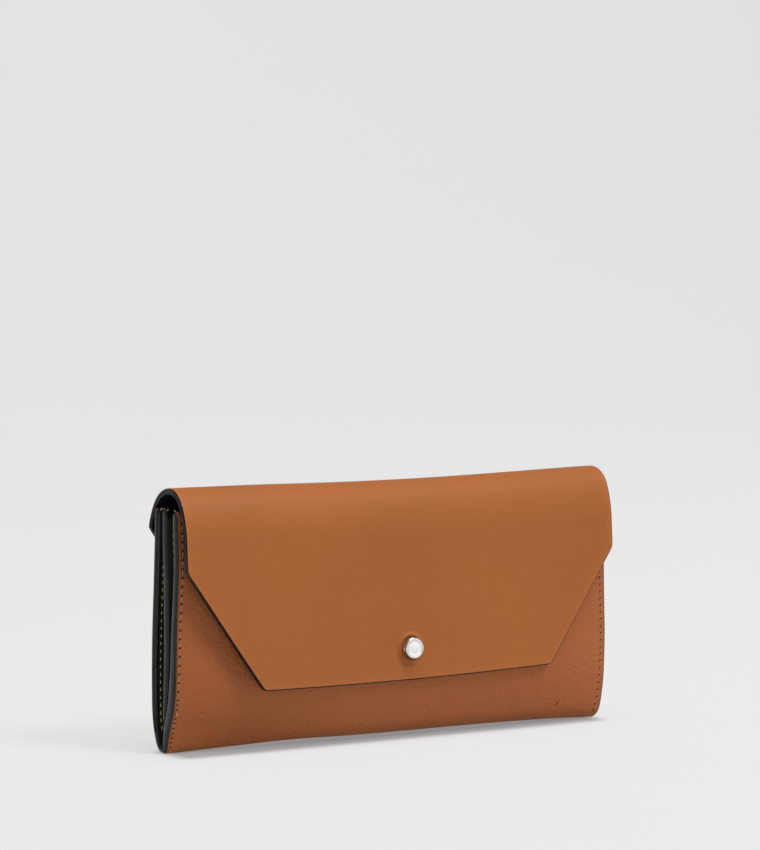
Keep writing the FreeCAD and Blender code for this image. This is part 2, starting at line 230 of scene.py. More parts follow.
def bead(name, points, normals, outward, top, bottom, bulge, material, cap=(0, 0), steps=9, seam_at=None):
    """Rounded edge paint along a sheet's cut edge: top and bottom are depths, cap rounds off either end, and
    seam_at is where a groove shows between two layers, from -1 to 1 through the thickness."""
    top = np.broadcast_to(top, len(points))
    bottom = np.broadcast_to(bottom, len(points))
    run = run_along(points)
    angles = np.linspace(-math.pi / 2, math.pi / 2, steps)
    depth, swell = np.sin(angles), np.cos(angles) ** EDGE_POWER
    if seam_at is not None:
        swell = swell * (1 - SEAM_DEPTH * np.exp(-(((depth - seam_at) / SEAM_HALF) ** 2)))
    sections = []
    for i, (point, normal, out) in enumerate(zip(points, normals, outward)):
        size = 1.0
        for reach, gone in ((cap[0], run[i]), (cap[1], run[-1] - run[i])):
            if reach > 0 and gone < reach:
                size *= max(0.12, math.sqrt(1 - (1 - gone / reach) ** 2))
        half = (bottom[i] - top[i]) / 2
        centre = point - normal * (top[i] + half)
        ring = [centre + normal * half * size * d + out * bulge * size * w for d, w in zip(depth, swell)]
        ring += [ring[-1] - out * 0.5, ring[0] - out * 0.5]
        sections.append(np.array(ring))
    return sweep(name, sections, material)


def lathe(name, profile, origin, axis, material, steps=64):
    """A turned piece: profile is (radius, distance along the axis) pairs, from the axis back to the axis."""
    axis = Vector(axis).normalized()
    side = axis.orthogonal().normalized()
    other = axis.cross(side)
    sections = []
    for k in range(steps):
        a = 2 * math.pi * k / steps
        ray = np.array(side * math.cos(a) + other * math.sin(a))
        sections.append(np.array([np.array(origin) + ray * r + np.array(axis) * h for r, h in profile]))
    obj = sweep(name, sections, material, closed=True)
    clean(obj)
    return obj


def clean(obj):
    """Welds doubled points and turns the faces outwards."""
    bm = bmesh.new()
    bm.from_mesh(obj.data)
    bmesh.ops.remove_doubles(bm, verts=bm.verts, dist=1e-7)
    bmesh.ops.dissolve_degenerate(bm, edges=bm.edges, dist=1e-8)
    bmesh.ops.recalc_face_normals(bm, faces=bm.faces)
    bm.to_mesh(obj.data)
    bm.free()


def rounded_box(name, low, high, radius, material, segments=3):
    """A block with rolled edges."""
    x0, y0, z0 = low
    x1, y1, z1 = high
    points = [(x, y, z) for x in (x0, x1) for y in (y0, y1) for z in (z0, z1)]
    faces = [(0, 1, 3, 2), (4, 6, 7, 5), (0, 4, 5, 1), (2, 3, 7, 6), (0, 2, 6, 4), (1, 5, 7, 3)]
    obj = mesh_piece(name, points, faces, material)
    bevel(obj, radius, segments)
    return obj


def bevel(obj, radius, segments=3):
    modifier = obj.modifiers.new("bevel", "BEVEL")
    modifier.width = radius * MM
    modifier.segments = segments
    modifier.limit_method = "ANGLE"
    modifier.angle_limit = math.radians(40)
    apply_modifiers(obj)
    obj.data.set_sharp_from_angle(angle=math.radians(50))


def apply_modifiers(obj):
    graph = bpy.context.evaluated_depsgraph_get()
    mesh = bpy.data.meshes.new_from_object(obj.evaluated_get(graph))
    obj.modifiers.clear()
    obj.data = mesh
    obj.data.polygons.foreach_set("use_smooth", [True] * len(mesh.polygons))


def join(name, objects):
    """One piece from several closed meshes."""
    points, faces, start = [], [], 0
    for o in objects:
        points += [v.co / MM for v in o.data.vertices]
        faces += [tuple(start + k for k in p.vertices) for p in o.data.polygons]
        start += len(o.data.vertices)
    material = objects[0].data.materials[0]
    for o in objects:
        bpy.data.objects.remove(o)
    return mesh_piece(name, [tuple(p) for p in points], faces, material)


# ---- materials


class Nodes:
    """A small helper around one material's node tree."""

    def __init__(self, name):
        self.material = bpy.data.materials.new(name)
        self.material.use_nodes = True
        self.tree = self.material.node_tree
        self.shader = self.tree.nodes["Principled BSDF"]
        self.place = self.add("ShaderNodeTexCoord").outputs["Object"]

    def add(self, kind, **values):
        node = self.tree.nodes.new(kind)
        for key, value in values.items():
            if key in node.inputs:
                node.inputs[key].default_value = value
            else:
                setattr(node, key, value)
        return node

    def wire(self, source, target):
        self.tree.links.new(source, target)

    def texture(self, kind, output, **values):
        node = self.add(f"ShaderNodeTex{kind}", **values)
        self.wire(self.place, node.inputs["Vector"])
        return node.outputs[output]

    def noise(self, scale, detail=2.0, rough=0.5):
        return self.texture("Noise", "Fac", Scale=scale, Detail=detail, Roughness=rough)

    def cells(self, scale):
        return self.texture("Voronoi", "Distance", Scale=scale, feature="SMOOTH_F1")

    def waves(self, scale, **values):
        return self.texture("Wave", "Fac", Scale=scale, **values)

    def remap(self, source, low, high, start=0.0, end=1.0, **more):
        node = self.add("ShaderNodeMapRange", **more)
        for socket, value in (("From Min", start), ("From Max", end), ("To Min", low), ("To Max", high)):
            node.inputs[socket].default_value = value
        self.wire(source, node.inputs["Value"])
        return node.outputs["Result"]

    def math(self, operation, a, b):
        node = self.add("ShaderNodeMath", operation=operation)
        for socket, value in zip(node.inputs, (a, b)):
            if isinstance(value, (int, float)):
                socket.default_value = value
            else:
                self.wire(value, socket)
        return node.outputs[0]

    def mix(self, factor, a, b, blend="MIX"):
        node = self.add("ShaderNodeMix", data_type="RGBA", blend_type=blend)
        ports = {"Factor": node.inputs[0], "A": node.inputs[6], "B": node.inputs[7]}
        for port, value in (("Factor", factor), ("A", a), ("B", b)):
            if isinstance(value, (int, float, tuple)):
                ports[port].default_value = value if isinstance(value, (int, float)) else (*value, 1.0)
            else:
                self.wire(value, ports[port])
        return node.outputs[2]

    def colour(self, source):
        self.wire(source, self.shader.inputs["Base Color"])

    def rough(self, source):
        self.wire(source, self.shader.inputs["Roughness"])

    def bump(self, layers):
        """layers: (height, distance in mm, strength), laid over each other."""
        last = None
        for height, distance, strength in layers:
            node = self.add("ShaderNodeBump", Strength=strength, Distance=distance * MM)
            self.wire(height, node.inputs["Height"])
            if last is not None:
                self.wire(last, node.inputs["Normal"])
            last = node.outputs["Normal"]
        self.wire(last, self.shader.inputs["Normal"])

    def set(self, **values):
        for key, value in values.items():
            self.shader.inputs[key.replace("_", " ")].default_value = value


def shade(colour, factor):
    return tuple(c * factor for c in colour)


def leather(name, colour, rough, grain, depth, burnish_and_highlight=0.72, gloss=0.15):
    """Finished leather: mottling, fine grain, and a smoother edge line, worn darker below 1, painted
    highlight above 1.
    """
    n = Nodes(name)
    cloud = n.remap(n.noise(18, 3), 0.0, 1.0, 0.35, 0.65)
    fleck = n.remap(n.noise(420, 2), 0.0, 1.0, 0.3, 0.7)
    base = n.mix(cloud, shade(colour, 0.965), shade(colour, 1.035))
    base = n.mix(n.math("MULTIPLY", fleck, 0.35), base, n.mix(0.5, base, shade(colour, 0.86)))
    rim = n.add("ShaderNodeAttribute", attribute_name="rim").outputs["Fac"]
    ragged = n.math("MULTIPLY", rim, n.remap(n.noise(900, 2), 0.55, 1.0))
    # edge line: the factor darkens it as wear below 1 and lightens it as a painted highlight above 1
    n.colour(n.mix(ragged, base, shade(colour, burnish_and_highlight)))
    patchy = n.remap(n.noise(160, 3), rough - 0.035, rough + 0.045, 0.3, 0.7)
    n.rough(n.math("SUBTRACT", patchy, n.math("MULTIPLY", rim, 0.06)))
    n.set(Specular_IOR_Level=gloss)
    pores, creases = n.cells(grain), n.noise(grain * 0.42, 3, 0.6)
    n.bump([(pores, depth, 0.8), (creases, depth * 1.4, 0.7), (n.noise(55, 2), 0.16, 0.25)])
    return n.material


def edge_paint(name, colour, gloss):
    """Thick painted leather edge: nearly smooth, with slow waves and small nibs."""
    n = Nodes(name)
    n.set(Specular_IOR_Level=gloss)
    n.colour(n.mix(n.remap(n.noise(240, 3), 0.0, 1.0, 0.35, 0.65), shade(colour, 0.75), shade(colour, 1.3)))
    n.rough(n.remap(n.noise(300, 2), 0.20, 0.36, 0.3, 0.7))
    n.bump([(n.noise(150, 3), 0.5, 0.7), (n.noise(1400, 2), 0.04, 0.5)])
    return n.material


def thread(name, colour):
    """Twisted sewing thread."""
    n = Nodes(name)
    twist = n.waves(900.0, Distortion=1.0, Detail=1.0, bands_direction="DIAGONAL")
    n.colour(n.mix(twist, shade(colour, 0.62), shade(colour, 1.1)))
    n.rough(n.remap(n.noise(2500), 0.55, 0.8))
    n.bump([(twist, 0.06, 0.7)])
    return n.material


def polished_metal(name, colour, rough, scratch=0.02):
    """Nickel plate with faint handling marks."""
    n = Nodes(name)
    n.set(Metallic=1.0)
    n.colour(n.mix(n.remap(n.noise(260, 3), 0.0, 1.0, 0.3, 0.7), shade(colour, 0.93), colour))
    marks = n.noise(1100, 3, 0.6)
    n.rough(n.remap(marks, rough, rough + 0.02, 0.4, 0.7))
    n.bump([(marks, scratch, 0.05)])
    return n.material


def woven_tape(name, colour):
    """Zip tape: a fine herringbone of two thread directions."""
    n = Nodes(name)
    warp, weft = (n.waves(1500.0, bands_direction=axis, Distortion=0.4) for axis in "XZ")
    weave = n.math("MULTIPLY", warp, weft)
    n.colour(n.mix(weave, shade(colour, 0.5), shade(colour, 1.5)))
    n.rough(n.remap(weave, 0.9, 0.75))
    n.bump([(weave, 0.12, 0.8)])
    return n.material


def shadow_hole(name):
    """The dark bottom of a needle hole."""
    n = Nodes(name)
    n.colour(n.mix(n.noise(2000), (0.010, 0.004, 0.002), (0.030, 0.012, 0.005)))
    n.rough(n.remap(n.noise(1500), 0.8, 0.95))
    return n.material


# the flap leather's edge line is lighter, partly burnish and partly a painted highlight; the other leathers
# darken there as wear
TAN = leather("tan_leather", (0.350, 0.110, 0.0280), 0.50, 2600, 0.030, 1.22)
TAN_BODY = leather("tan_body_leather", (0.368, 0.109, 0.034), 0.48, 1250, 0.34, 0.8)
DARK = leather("dark_lining", (0.0100, 0.0095, 0.0055), 0.60, 2200, 0.05, 0.6)
DARK_GUSSET = leather("gusset_leather", (0.030, 0.029, 0.018), 0.66, 1700, 0.08, 0.6)
PAINT = edge_paint("edge_paint", (0.011, 0.0095, 0.0105), 0.30)
PAINT_THIN = edge_paint("flap_edge_paint", (0.004, 0.0035, 0.005), 0.20)
THREAD_TAN = thread("tan_thread", (0.50, 0.215, 0.085))
THREAD_DARK = thread("olive_thread", (0.46, 0.43, 0.28))
# the olive thread painted paler for the gusset seams: a painted highlight lifting the stitches out of the
# gussets' shade
THREAD_OLIVE_LIT = thread("gusset_thread", (0.60, 0.57, 0.38))
HOLE = shadow_hole("needle_hole")
CAP_METAL = polished_metal("cap_nickel", (0.77, 0.77, 0.74), 0.13, 0.001)
ZIP_METAL = polished_metal("zip_nickel", (0.72, 0.72, 0.70), 0.22)
TAPE = woven_tape("zip_tape", (0.020, 0.018, 0.012))


# ---- flap leather


def arc_yz(centre, radius, degrees):
    a = np.radians(degrees)
    return centre[0] + radius * np.sin(a), centre[1] + radius * np.cos(a)


REACH = (SIDE_R - CROWN_R) * np.array([math.sin(math.radians(CROWN_END)), math.cos(math.radians(CROWN_END))])
REAR_CENTRE = (-REACH[0], CROWN_Z - REACH[1])
FRONT_CENTRE = (REACH[0], CROWN_Z - REACH[1])
STRAIGHT_FROM = -90.0 + FLAP_LEAN

# path lengths along the flap leather, from the tail's edge over the top to the flap's edge
TAIL_LEN = REAR_CENTRE[1] - TAIL_EDGE_Z
REAR_LEN = SIDE_R * math.radians(90 - CROWN_END)
CROWN_LEN = CROWN_R * math.radians(2 * CROWN_END)
FRONT_LEN = SIDE_R * math.radians(90 - FLAP_LEAN - CROWN_END)
Q_REAR = TAIL_LEN
Q_CROWN = Q_REAR + REAR_LEN
Q_FRONT = Q_CROWN + CROWN_LEN
Q_STRAIGHT = Q_FRONT + FRONT_LEN
Q_MIDDLE = (Q_CROWN + Q_FRONT) / 2
TAIL_SLACK = 2.7
LEAN = math.radians(FLAP_LEAN)
STRAIGHT_TOP = arc_yz(FRONT_CENTRE, SIDE_R, STRAIGHT_FROM)
Q_EDGE = Q_STRAIGHT + (STRAIGHT_TOP[1] - FLAP_EDGE_Z) / math.cos(LEAN)
Q_SNAP = Q_STRAIGHT + (STRAIGHT_TOP[1] - SNAP_Z) / math.cos(LEAN)


def q_at_angle(degrees):
    """Path length where the leather's normal leans this far from straight up."""
    if degrees > CROWN_END:
        return Q_REAR + SIDE_R * math.radians(90 - degrees)
    if degrees > -CROWN_END:
        return Q_CROWN + CROWN_R * math.radians(CROWN_END - degrees)
    return Q_FRONT + SIDE_R * math.radians(-CROWN_END - degrees)


def q_at_z(z, front=True):
    """Path length at a height on the flap's straight front, or on the tail side."""
    if front:
        return Q_STRAIGHT + (STRAIGHT_TOP[1] - z) / math.cos(LEAN)
    if z < REAR_CENTRE[1]:
        return z - TAIL_EDGE_Z
    return Q_REAR + SIDE_R * math.asin((z - REAR_CENTRE[1]) / SIDE_R)


Q_TAIL_CORNER = q_at_z(TAIL_CORNER_Z, front=False)
Q_CORNER = q_at_z(FLAP_CORNER_Z)


def fillet(run, radius, turn):
    """How far a rounded corner pulls the side in, a distance run short of a straight end edge."""
    inside = np.clip(radius - run, 0, radius)
    return (radius - np.sqrt(np.maximum(radius**2 - inside**2, 0))) * turn


def half_width(q):
    """Half the leather's width along its path."""
    tail = HALF - SLANT * np.clip(Q_TAIL_CORNER - q, 0, None)
    front = HALF - SLANT * np.clip((q - Q_CORNER) * math.cos(LEAN), 0, None)
    width = np.minimum(tail, front)
    soften = 0.16 * np.exp(-(((q - Q_CORNER) / 0.9) ** 2))
    return width - fillet(Q_EDGE - q, CORNER_R, 1.0) - fillet(q, CORNER_R, 1.0) - soften


def path_yz(q, x):
    """The leather's outer face in the YZ plane."""
    straight = np.clip(q - Q_STRAIGHT, 0, None)
    angle = 90 - np.degrees(np.clip(q - Q_REAR, 0, REAR_LEN) / SIDE_R)
    crown = CROWN_END - np.degrees(np.clip(q - Q_CROWN, 0, CROWN_LEN) / CROWN_R)
    front = -CROWN_END - np.degrees(np.clip(q - Q_FRONT, 0, FRONT_LEN) / SIDE_R)
    on_tail, on_rear, on_crown = q < Q_REAR, q < Q_CROWN, q < Q_FRONT
    y_rear, z_rear = arc_yz(REAR_CENTRE, SIDE_R, angle)
    y_crown, z_crown = arc_yz((0, CROWN_Z), CROWN_R, crown)
    y_front, z_front = arc_yz(FRONT_CENTRE, SIDE_R, front)
    y_front = y_front - straight * math.sin(LEAN)
    z_front = z_front - straight * math.cos(LEAN)
    slack = TAIL_SLACK * (1 - 0.6 * to_right(x))
    rise = smooth(q / TAIL_LEN)
    sewn = shell_y_rear(x, TAIL_EDGE_Z) + FLAP + 0.05
    y_tail = sewn * (1 - rise) + (REAR_CENTRE[0] + SIDE_R + slack) * rise
    y = np.where(on_rear, y_rear, np.where(on_crown, y_crown, y_front))
    y = np.where(on_tail, y_tail, y + slack * smooth((Q_MIDDLE - q) / (Q_MIDDLE - Q_TAIL_CORNER)))
    z = np.where(on_tail, TAIL_EDGE_Z + q, np.where(on_rear, z_rear, np.where(on_crown, z_crown, z_front)))
    return y, z


# the roll sags at mid length and droops at the left; the flap's edge sags and slopes; its right end is wider
ROLL_SAG = 1.5
LEFT_DROOP = 0.5
RIGHT_STRETCH = 0.007
EDGE_SAG = 0.8
EDGE_SKEW = 1.0


def flap_surface(u, q):
    """The flap leather's outer face: u runs across from -1 to 1, q along the path in mm."""
    x = u * half_width(q) * (1 + RIGHT_STRETCH * smooth(u))
    y, z = path_yz(q, x)
    over = smooth((z - 62) / 34)
    z = z - ROLL_SAG * over * mid(x) ** 1.5 - LEFT_DROOP * over * smooth((-x - 50) / 45)
    down = smooth((q - Q_CORNER) / (Q_EDGE - Q_CORNER))
    z = z - EDGE_SAG * down * mid(x * 1.5) + EDGE_SKEW * down * x / HALF
    radius = np.hypot(x, q - Q_SNAP)
    front = q > Q_FRONT
    ring = 0.75 * np.exp(-(((radius - 4.9) / 0.85) ** 2)) - 0.25 * np.exp(-((radius / 3.6) ** 4))
    hang = 0.35 * np.sin(x / 31.0 + 0.6) * smooth((q - Q_FRONT) / 50)
    y = y - np.where(front, ring + hang, 0.0)
    return np.stack([x, y, z], axis=-1)


def flap_to_edge(u, q):
    """Distance to the leather's cut edge."""
    return np.minimum((1 - np.abs(u)) * half_width(q), np.minimum(Q_EDGE - q, q))


def flap_rim(u, q):
    return np.exp(-flap_to_edge(u, q) / 0.9)


RIM_DROP, RIM_WIDTH = 0.24, 0.42


def rolled(to_edge):
    """How far a face has rolled down at a distance from its cut edge."""
    return RIM_DROP * (1 - np.clip(to_edge / RIM_WIDTH, 0, 1)) ** 2


def flap_round(u, q):
    return rolled(flap_to_edge(u, q))


def clustered(low, high, step, fine=(), fine_step=0.4):
    """Stations from low to high, closer together inside each fine (start, end) stretch."""
    stations = [low]
    while stations[-1] < high - 1e-9:
        at = stations[-1]
        near = any(a - 1e-9 <= at < b for a, b in fine)
        stations.append(min(high, at + (fine_step if near else step)))
    if len(stations) > 2 and stations[-1] - stations[-2] < 0.3 * fine_step:
        stations.pop(-2)
    return np.array(stations)


NEAR_EDGE = [1 - d / HALF for d in (0.0, 0.12, 0.26, 0.42, 0.9)]


def across(low, high, count):
    """Stations over the leather's width, close together at its edges."""
    return np.concatenate([np.linspace(low, high, count)[:-1], np.array(NEAR_EDGE[::-1])])


OUTER_SIDE = across(0.12, 0.985, 58)
ACROSS_FLAP = np.concatenate([-OUTER_SIDE[::-1], np.linspace(-0.12, 0.12, 45)[1:-1], OUTER_SIDE])
PLAIN_SIDE = across(0.02, 0.985, 48)
ACROSS_PLAIN = np.concatenate([-PLAIN_SIDE[::-1], PLAIN_SIDE])

# name, body or pair of bodies, path from, path to, CAD nodes of skin and lining
FLAP_ZONES = [
    ("tail", "root", 0.0, q_at_angle(80), ("tail_leather", "tail_lining")),
    ("bend_1", ("root", "roll_1"), q_at_angle(80), q_at_angle(44), ("roll_leather_1", "roll_lining_1")),
    ("bend_2", ("roll_1", "roll_2"), q_at_angle(44), q_at_angle(0), ("roll_leather_2", "roll_lining_2")),
    ("bend_3", ("roll_2", "roll_3"), q_at_angle(0), q_at_angle(-44), ("roll_leather_3", "roll_lining_3")),
    ("bend_4", ("roll_3", "flap"), q_at_angle(-44), q_at_angle(-80), (None, None)),
    ("front", "flap", q_at_angle(-80), Q_EDGE, ("flap_leather", "flap_lining")),
]
BLEND_INSET = 1.2
# path stretches with closer stations: the tail's edge, and the snap, edge and corners of the front
FINE_TAIL = [(0, 3)]
FINE_FRONT = [(Q_SNAP - 7, Q_SNAP + 7), (Q_EDGE - 3, Q_EDGE), (Q_CORNER - 3, Q_CORNER + 3)]
FINE = {"tail": FINE_TAIL, "front": FINE_FRONT}


def put(obj, slot, bodies, node=None, line=None):
    """Rides on one body, or for two bodies bakes its transform in place, and hides the CAD node. slot is not
    used."""
    if isinstance(bodies, str):
        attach(obj, bodies)
    else:
        start, end = (tuple(np.array(p) * MM) for p in line)
        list(bodies)
        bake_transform(obj)
        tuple(start)
        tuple(end)
    if node:
        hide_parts(node)


def layers(part, name, surface, us, vs, depths, top, rim, leather, bodies, nodes, line):
    """One stretch's outer leather and its lining."""
    skin = slab(f"{part}_skin_{name}", surface, us, vs, top, depths[0], leather, -1, rim)
    lining = slab(f"{part}_lining_{name}", surface, us[::2], vs, *depths, DARK, -1, rim)
    put(skin, "tan_leather", bodies, nodes[0], line)
    put(lining, "dark_lining", bodies, nodes[1], line)


def build_flap():
    depths = (FLAP_SKIN, FLAP)
    for name, bodies, q0, q1, nodes in FLAP_ZONES:
        qs = clustered(q0, q1, 1.1 if name in FINE else 0.45, FINE.get(name, ()), 0.3)
        us = ACROSS_FLAP if name == "front" else ACROSS_PLAIN
        line = flap_surface(np.array([0.7, 0.7]), np.array([q0 + BLEND_INSET, q1 - BLEND_INSET]))
        layers("flap", name, flap_surface, us, qs, depths, flap_round, flap_rim, TAN, bodies, nodes, line)
        for paint in flap_paint(name, qs):
            put(paint, "dark_lining", bodies, None, line)


def flap_paint(name, qs):
    """Painted edge of one stretch: both sides, and round the end edge where the stretch has one."""
    if name in FINE:
        end_q = 0.0 if name == "tail" else Q_EDGE
        order = qs[::-1] if name == "tail" else qs
        turn = [(u, end_q) for u in np.linspace(-1, 1, 160)[1:-1]]
        tracks = [("rim", [(-1.0, q) for q in order] + turn + [(1.0, q) for q in order[::-1]])]
    else:
        tracks = [(side, [(end, q) for q in qs]) for side, end in (("left", -1.0), ("right", 1.0))]
    for side, track in tracks:
        u, q = np.array(track).T
        points = flap_surface(u, q)
        normals = -surface_normals(flap_surface, u * 0.9999, np.clip(q, 0.01, Q_EDGE - 0.01))
        outward = np.cross(unit(np.gradient(points, axis=0)), normals)
        middle = flap_surface(u * 0.8, np.clip(q, 3, Q_EDGE - 3))
        flip = np.sign(np.sum(outward * (points - middle), axis=1, keepdims=True))
        label, out = f"flap_paint_{name}_{side}", unit(outward * flip)
        yield bead(label, points, normals, out, 0.10, FLAP + 0.03, 0.30, PAINT_THIN, steps=15, seam_at=-0.2)


# ---- body shell

# the leather's outer face at either end, as a path from the front's top edge round the bottom fold to the
# back's top edge: y, z. The left end is pinched at the front of its fold, the right end stays full.
SHELL_TOP = WALL_TOP + 1.0
LEFT_PATH = [
    (-6.9, SHELL_TOP), (-7.7, 70), (-6.9, 58), (-6.2, 47), (-5.9, 36), (-5.3, 25), (-3.8, 16.5), (-1.0, 9.5),
    (0.6, 4.2), (1.4, 1.6), (2.5, 0.2), (4.7, 0.0), (7.1, 0.7), (9.0, 2.5), (11.3, 7.8), (12.7, 14.5),
    (13.1, 23), (13.1, 34), (12.8, 45), (12.1, 57), (11.5, 68), (10.9, 80), (10.7, SHELL_TOP),
]
RIGHT_PATH = [
    (-8.3, SHELL_TOP), (-9.1, 70), (-9.3, 58), (-9.7, 47), (-10.2, 36), (-10.1, 25), (-9.6, 16.5),
    (-8.4, 9.5), (-6.8, 4.2), (-4.9, 1.6), (-2.4, 0.2), (1.2, 0.0), (5.2, 0.6), (8.2, 2.3), (10.3, 7.8),
    (11.4, 14.5), (11.8, 23), (11.6, 34), (11.2, 45), (10.5, 57), (10.0, 68), (9.6, 80), (9.4, SHELL_TOP),
]
CHANGE_OVER = 80.0


def spline(points):
    """A smooth curve through points, with as many stations between each two."""
    p = np.array(points, float)
    p = np.vstack([2 * p[0] - p[1], p, 2 * p[-1] - p[-2]])
    out = []
    for i in range(1, len(p) - 2):
        knots = [0.0]
        for a, b in ((i - 1, i), (i, i + 1), (i + 1, i + 2)):
            knots.append(knots[-1] + np.linalg.norm(p[b] - p[a]) ** 0.5)
        t = np.linspace(knots[1], knots[2], 40, endpoint=False)[:, None]
        k = knots

        def between(a, b, low, high):
            return (k[high] - t) / (k[high] - k[low]) * a + (t - k[low]) / (k[high] - k[low]) * b

        a1, a2, a3 = (between(p[i + m - 1], p[i + m], m, m + 1) for m in range(3))
        out.append(between(between(a1, a2, 0, 2), between(a2, a3, 1, 3), 1, 2))
    return np.vstack(out + [p[-2:-1]])


SHELL_PATH, SHELL_RIGHT = spline(LEFT_PATH), spline(RIGHT_PATH)
SHELL_RUN = run_along(SHELL_PATH)
SHELL_LEN = SHELL_RUN[-1]
BOTTOM_I = int(np.argmin(SHELL_PATH[:, 1]))
S_BOTTOM = SHELL_RUN[BOTTOM_I]


def s_front(z):
    return float(np.interp(-z, -SHELL_PATH[: BOTTOM_I + 1, 1], SHELL_RUN[: BOTTOM_I + 1]))


def s_rear(z):
    return float(np.interp(z, SHELL_PATH[BOTTOM_I:, 1], SHELL_RUN[BOTTOM_I:]))


# the front bows out and the rear a little, with a dent at the snap; the base lifts, most left of the middle
FRONT_BOW = 6.0
REAR_BOW = 0.6
DIMPLE, DIMPLE_R = 2.1, 10.0
BASE_LIFT = 1.4
LEFT_LIFT, LEFT_LIFT_X = 0.5, -42


def to_right(x):
    """0 at the pinched left end, 1 from a little past it."""
    return smooth((x + HALF) / CHANGE_OVER)


def belly(z, top_share):
    """How much of a wall's bow is there at a height."""
    return smooth(z / 30) * (1 - (1 - top_share) * smooth((z - 50) / (WALL_TOP - 50)))


def shell_surface(x, s):
    """The body leather's outer face: x along the wallet, s along the end path."""
    s_in = np.clip(s, 0, SHELL_LEN)
    share = to_right(x)
    left, right = (
        [np.interp(s_in, SHELL_RUN, path[:, k]) for k in range(2)] for path in (SHELL_PATH, SHELL_RIGHT)
    )
    y, z = (a * (1 - share) + b * share for a, b in zip(left, right))
    over = s - s_in
    z = z + np.where(s > SHELL_LEN / 2, over, -over)
    front = s < S_BOTTOM
    dimple = DIMPLE * np.exp(-((x**2 + (z - SNAP_Z) ** 2) / DIMPLE_R**2))
    bow = np.where(front, dimple - FRONT_BOW * belly(z, 0.0), REAR_BOW * belly(z, 0.1))
    y = y + bow * mid(x, 5)
    arch = BASE_LIFT * (1 - (np.abs(x) / HALF) ** np.where(x < 0, 2.5, 4.0))
    lift = arch + LEFT_LIFT * np.exp(-(((x - LEFT_LIFT_X) / 22) ** 2))
    z = z + lift * (1 - smooth(z / 30))
    return np.stack([x, y, z], axis=-1)


def shell_y_rear(x, z):
    """y of the back's outer face at a height."""
    s = s_rear(z)
    return shell_surface(x, np.full_like(np.asarray(x, float), s))[..., 1]


# name, bodies, from, to along the end path, CAD nodes of skin and lining
S_FOLD_TOP, S_FOLD_LOW = s_front(21), s_front(12)
S_BASE_FRONT, S_BASE_REAR = s_front(6), s_rear(6.6)
SHELL_ZONES = [
    ("front", "front", 0.0, S_FOLD_TOP, ("front_panel", "front_lining")),
    ("front_fold", ("divider", "front"), S_FOLD_TOP, S_FOLD_LOW, (None, None)),
    ("foot", "divider", S_FOLD_LOW, S_BASE_FRONT, ("front_foot", "front_foot_lining")),
    ("base", ("root", "divider"), S_BASE_FRONT, S_BASE_REAR, (None, None)),
    ("back", "root", S_BASE_REAR, SHELL_LEN, ("back_panel", "back_lining")),
]
ZONE_LINE = {
    "front_fold": ((0, 0, 12.6), (0, 0, 20.6)),
    "base": ((0, 7.6, 0), (0, -0.4, 0)),
}
EDGE_BULGE = 0.85


def shell_to_edge(x, s):
    return np.minimum(HALF - np.abs(x), np.maximum(np.minimum(s, SHELL_LEN - s), 0))


def shell_rim(x, s):
    return np.exp(-shell_to_edge(x, s) / 0.8)


STITCH_RIGHT = 2.3
KNOT_Z = 15.5
# the left seam wanders: height, distance from the edge
STITCH_LEFT = [(0, 1.25), (8, 1.1), (14, 0.95), (24, 0.85), (45, 1.0), (65, 1.25), (90, 1.5)]
GROOVE = 0.10


def from_table(table, at, column=1):
    table = np.array(table)
    return np.interp(at, table[:, 0], table[:, column])


def shell_height(s):
    return np.interp(s, SHELL_RUN, SHELL_PATH[:, 1])


def stitch_inset(x, s):
    """Distance from the wallet's end to the side seam."""
    left = np.where(s < S_BOTTOM, from_table(STITCH_LEFT, shell_height(s)), STITCH_LEFT[-1][1])
    return np.where(np.asarray(x) < 0, left, STITCH_RIGHT)


def shell_round(x, s):
    """Rolled cut edges, and the shallow furrow that the stitches pull in."""
    furrow = GROOVE * np.exp(-(((HALF - np.abs(x) - stitch_inset(x, s)) / 0.7) ** 2))
    return rolled(shell_to_edge(x, s)) + furrow * smooth((np.minimum(s, SHELL_LEN - s) - 0.5) / 2)


# the painted edge's thickness, panel, lining and gusset together: height, front, back
THICK_EDGE = [
    (0, 2.2, 2.2), (2, 3.2, 2.8), (5, 3.9, 3.1), (10, 4.6, 3.3), (17, 5.1, 3.7), (25, 5.0, 3.8),
    (36, 4.4, 3.8), (58, 3.7, 4.0), (90, 3.7, 4.2),
]
# stations next to the wallet's ends, over the rolled edge and the stitches' furrow
END_STEPS = (5.2, 4.4, 3.8, 3.4, 3.0, 2.7, 2.4, 2.1, 1.9, 1.7, 1.5, 1.2, 0.9, 0.6, 0.42, 0.26, 0.12, 0.0)
ENDS = (("left", -1), ("right", 1))


def thick_edge(s):
    front, back = (from_table(THICK_EDGE, shell_height(s), column) for column in (1, 2))
    return front * (s < S_BOTTOM) + back * (s >= S_BOTTOM)


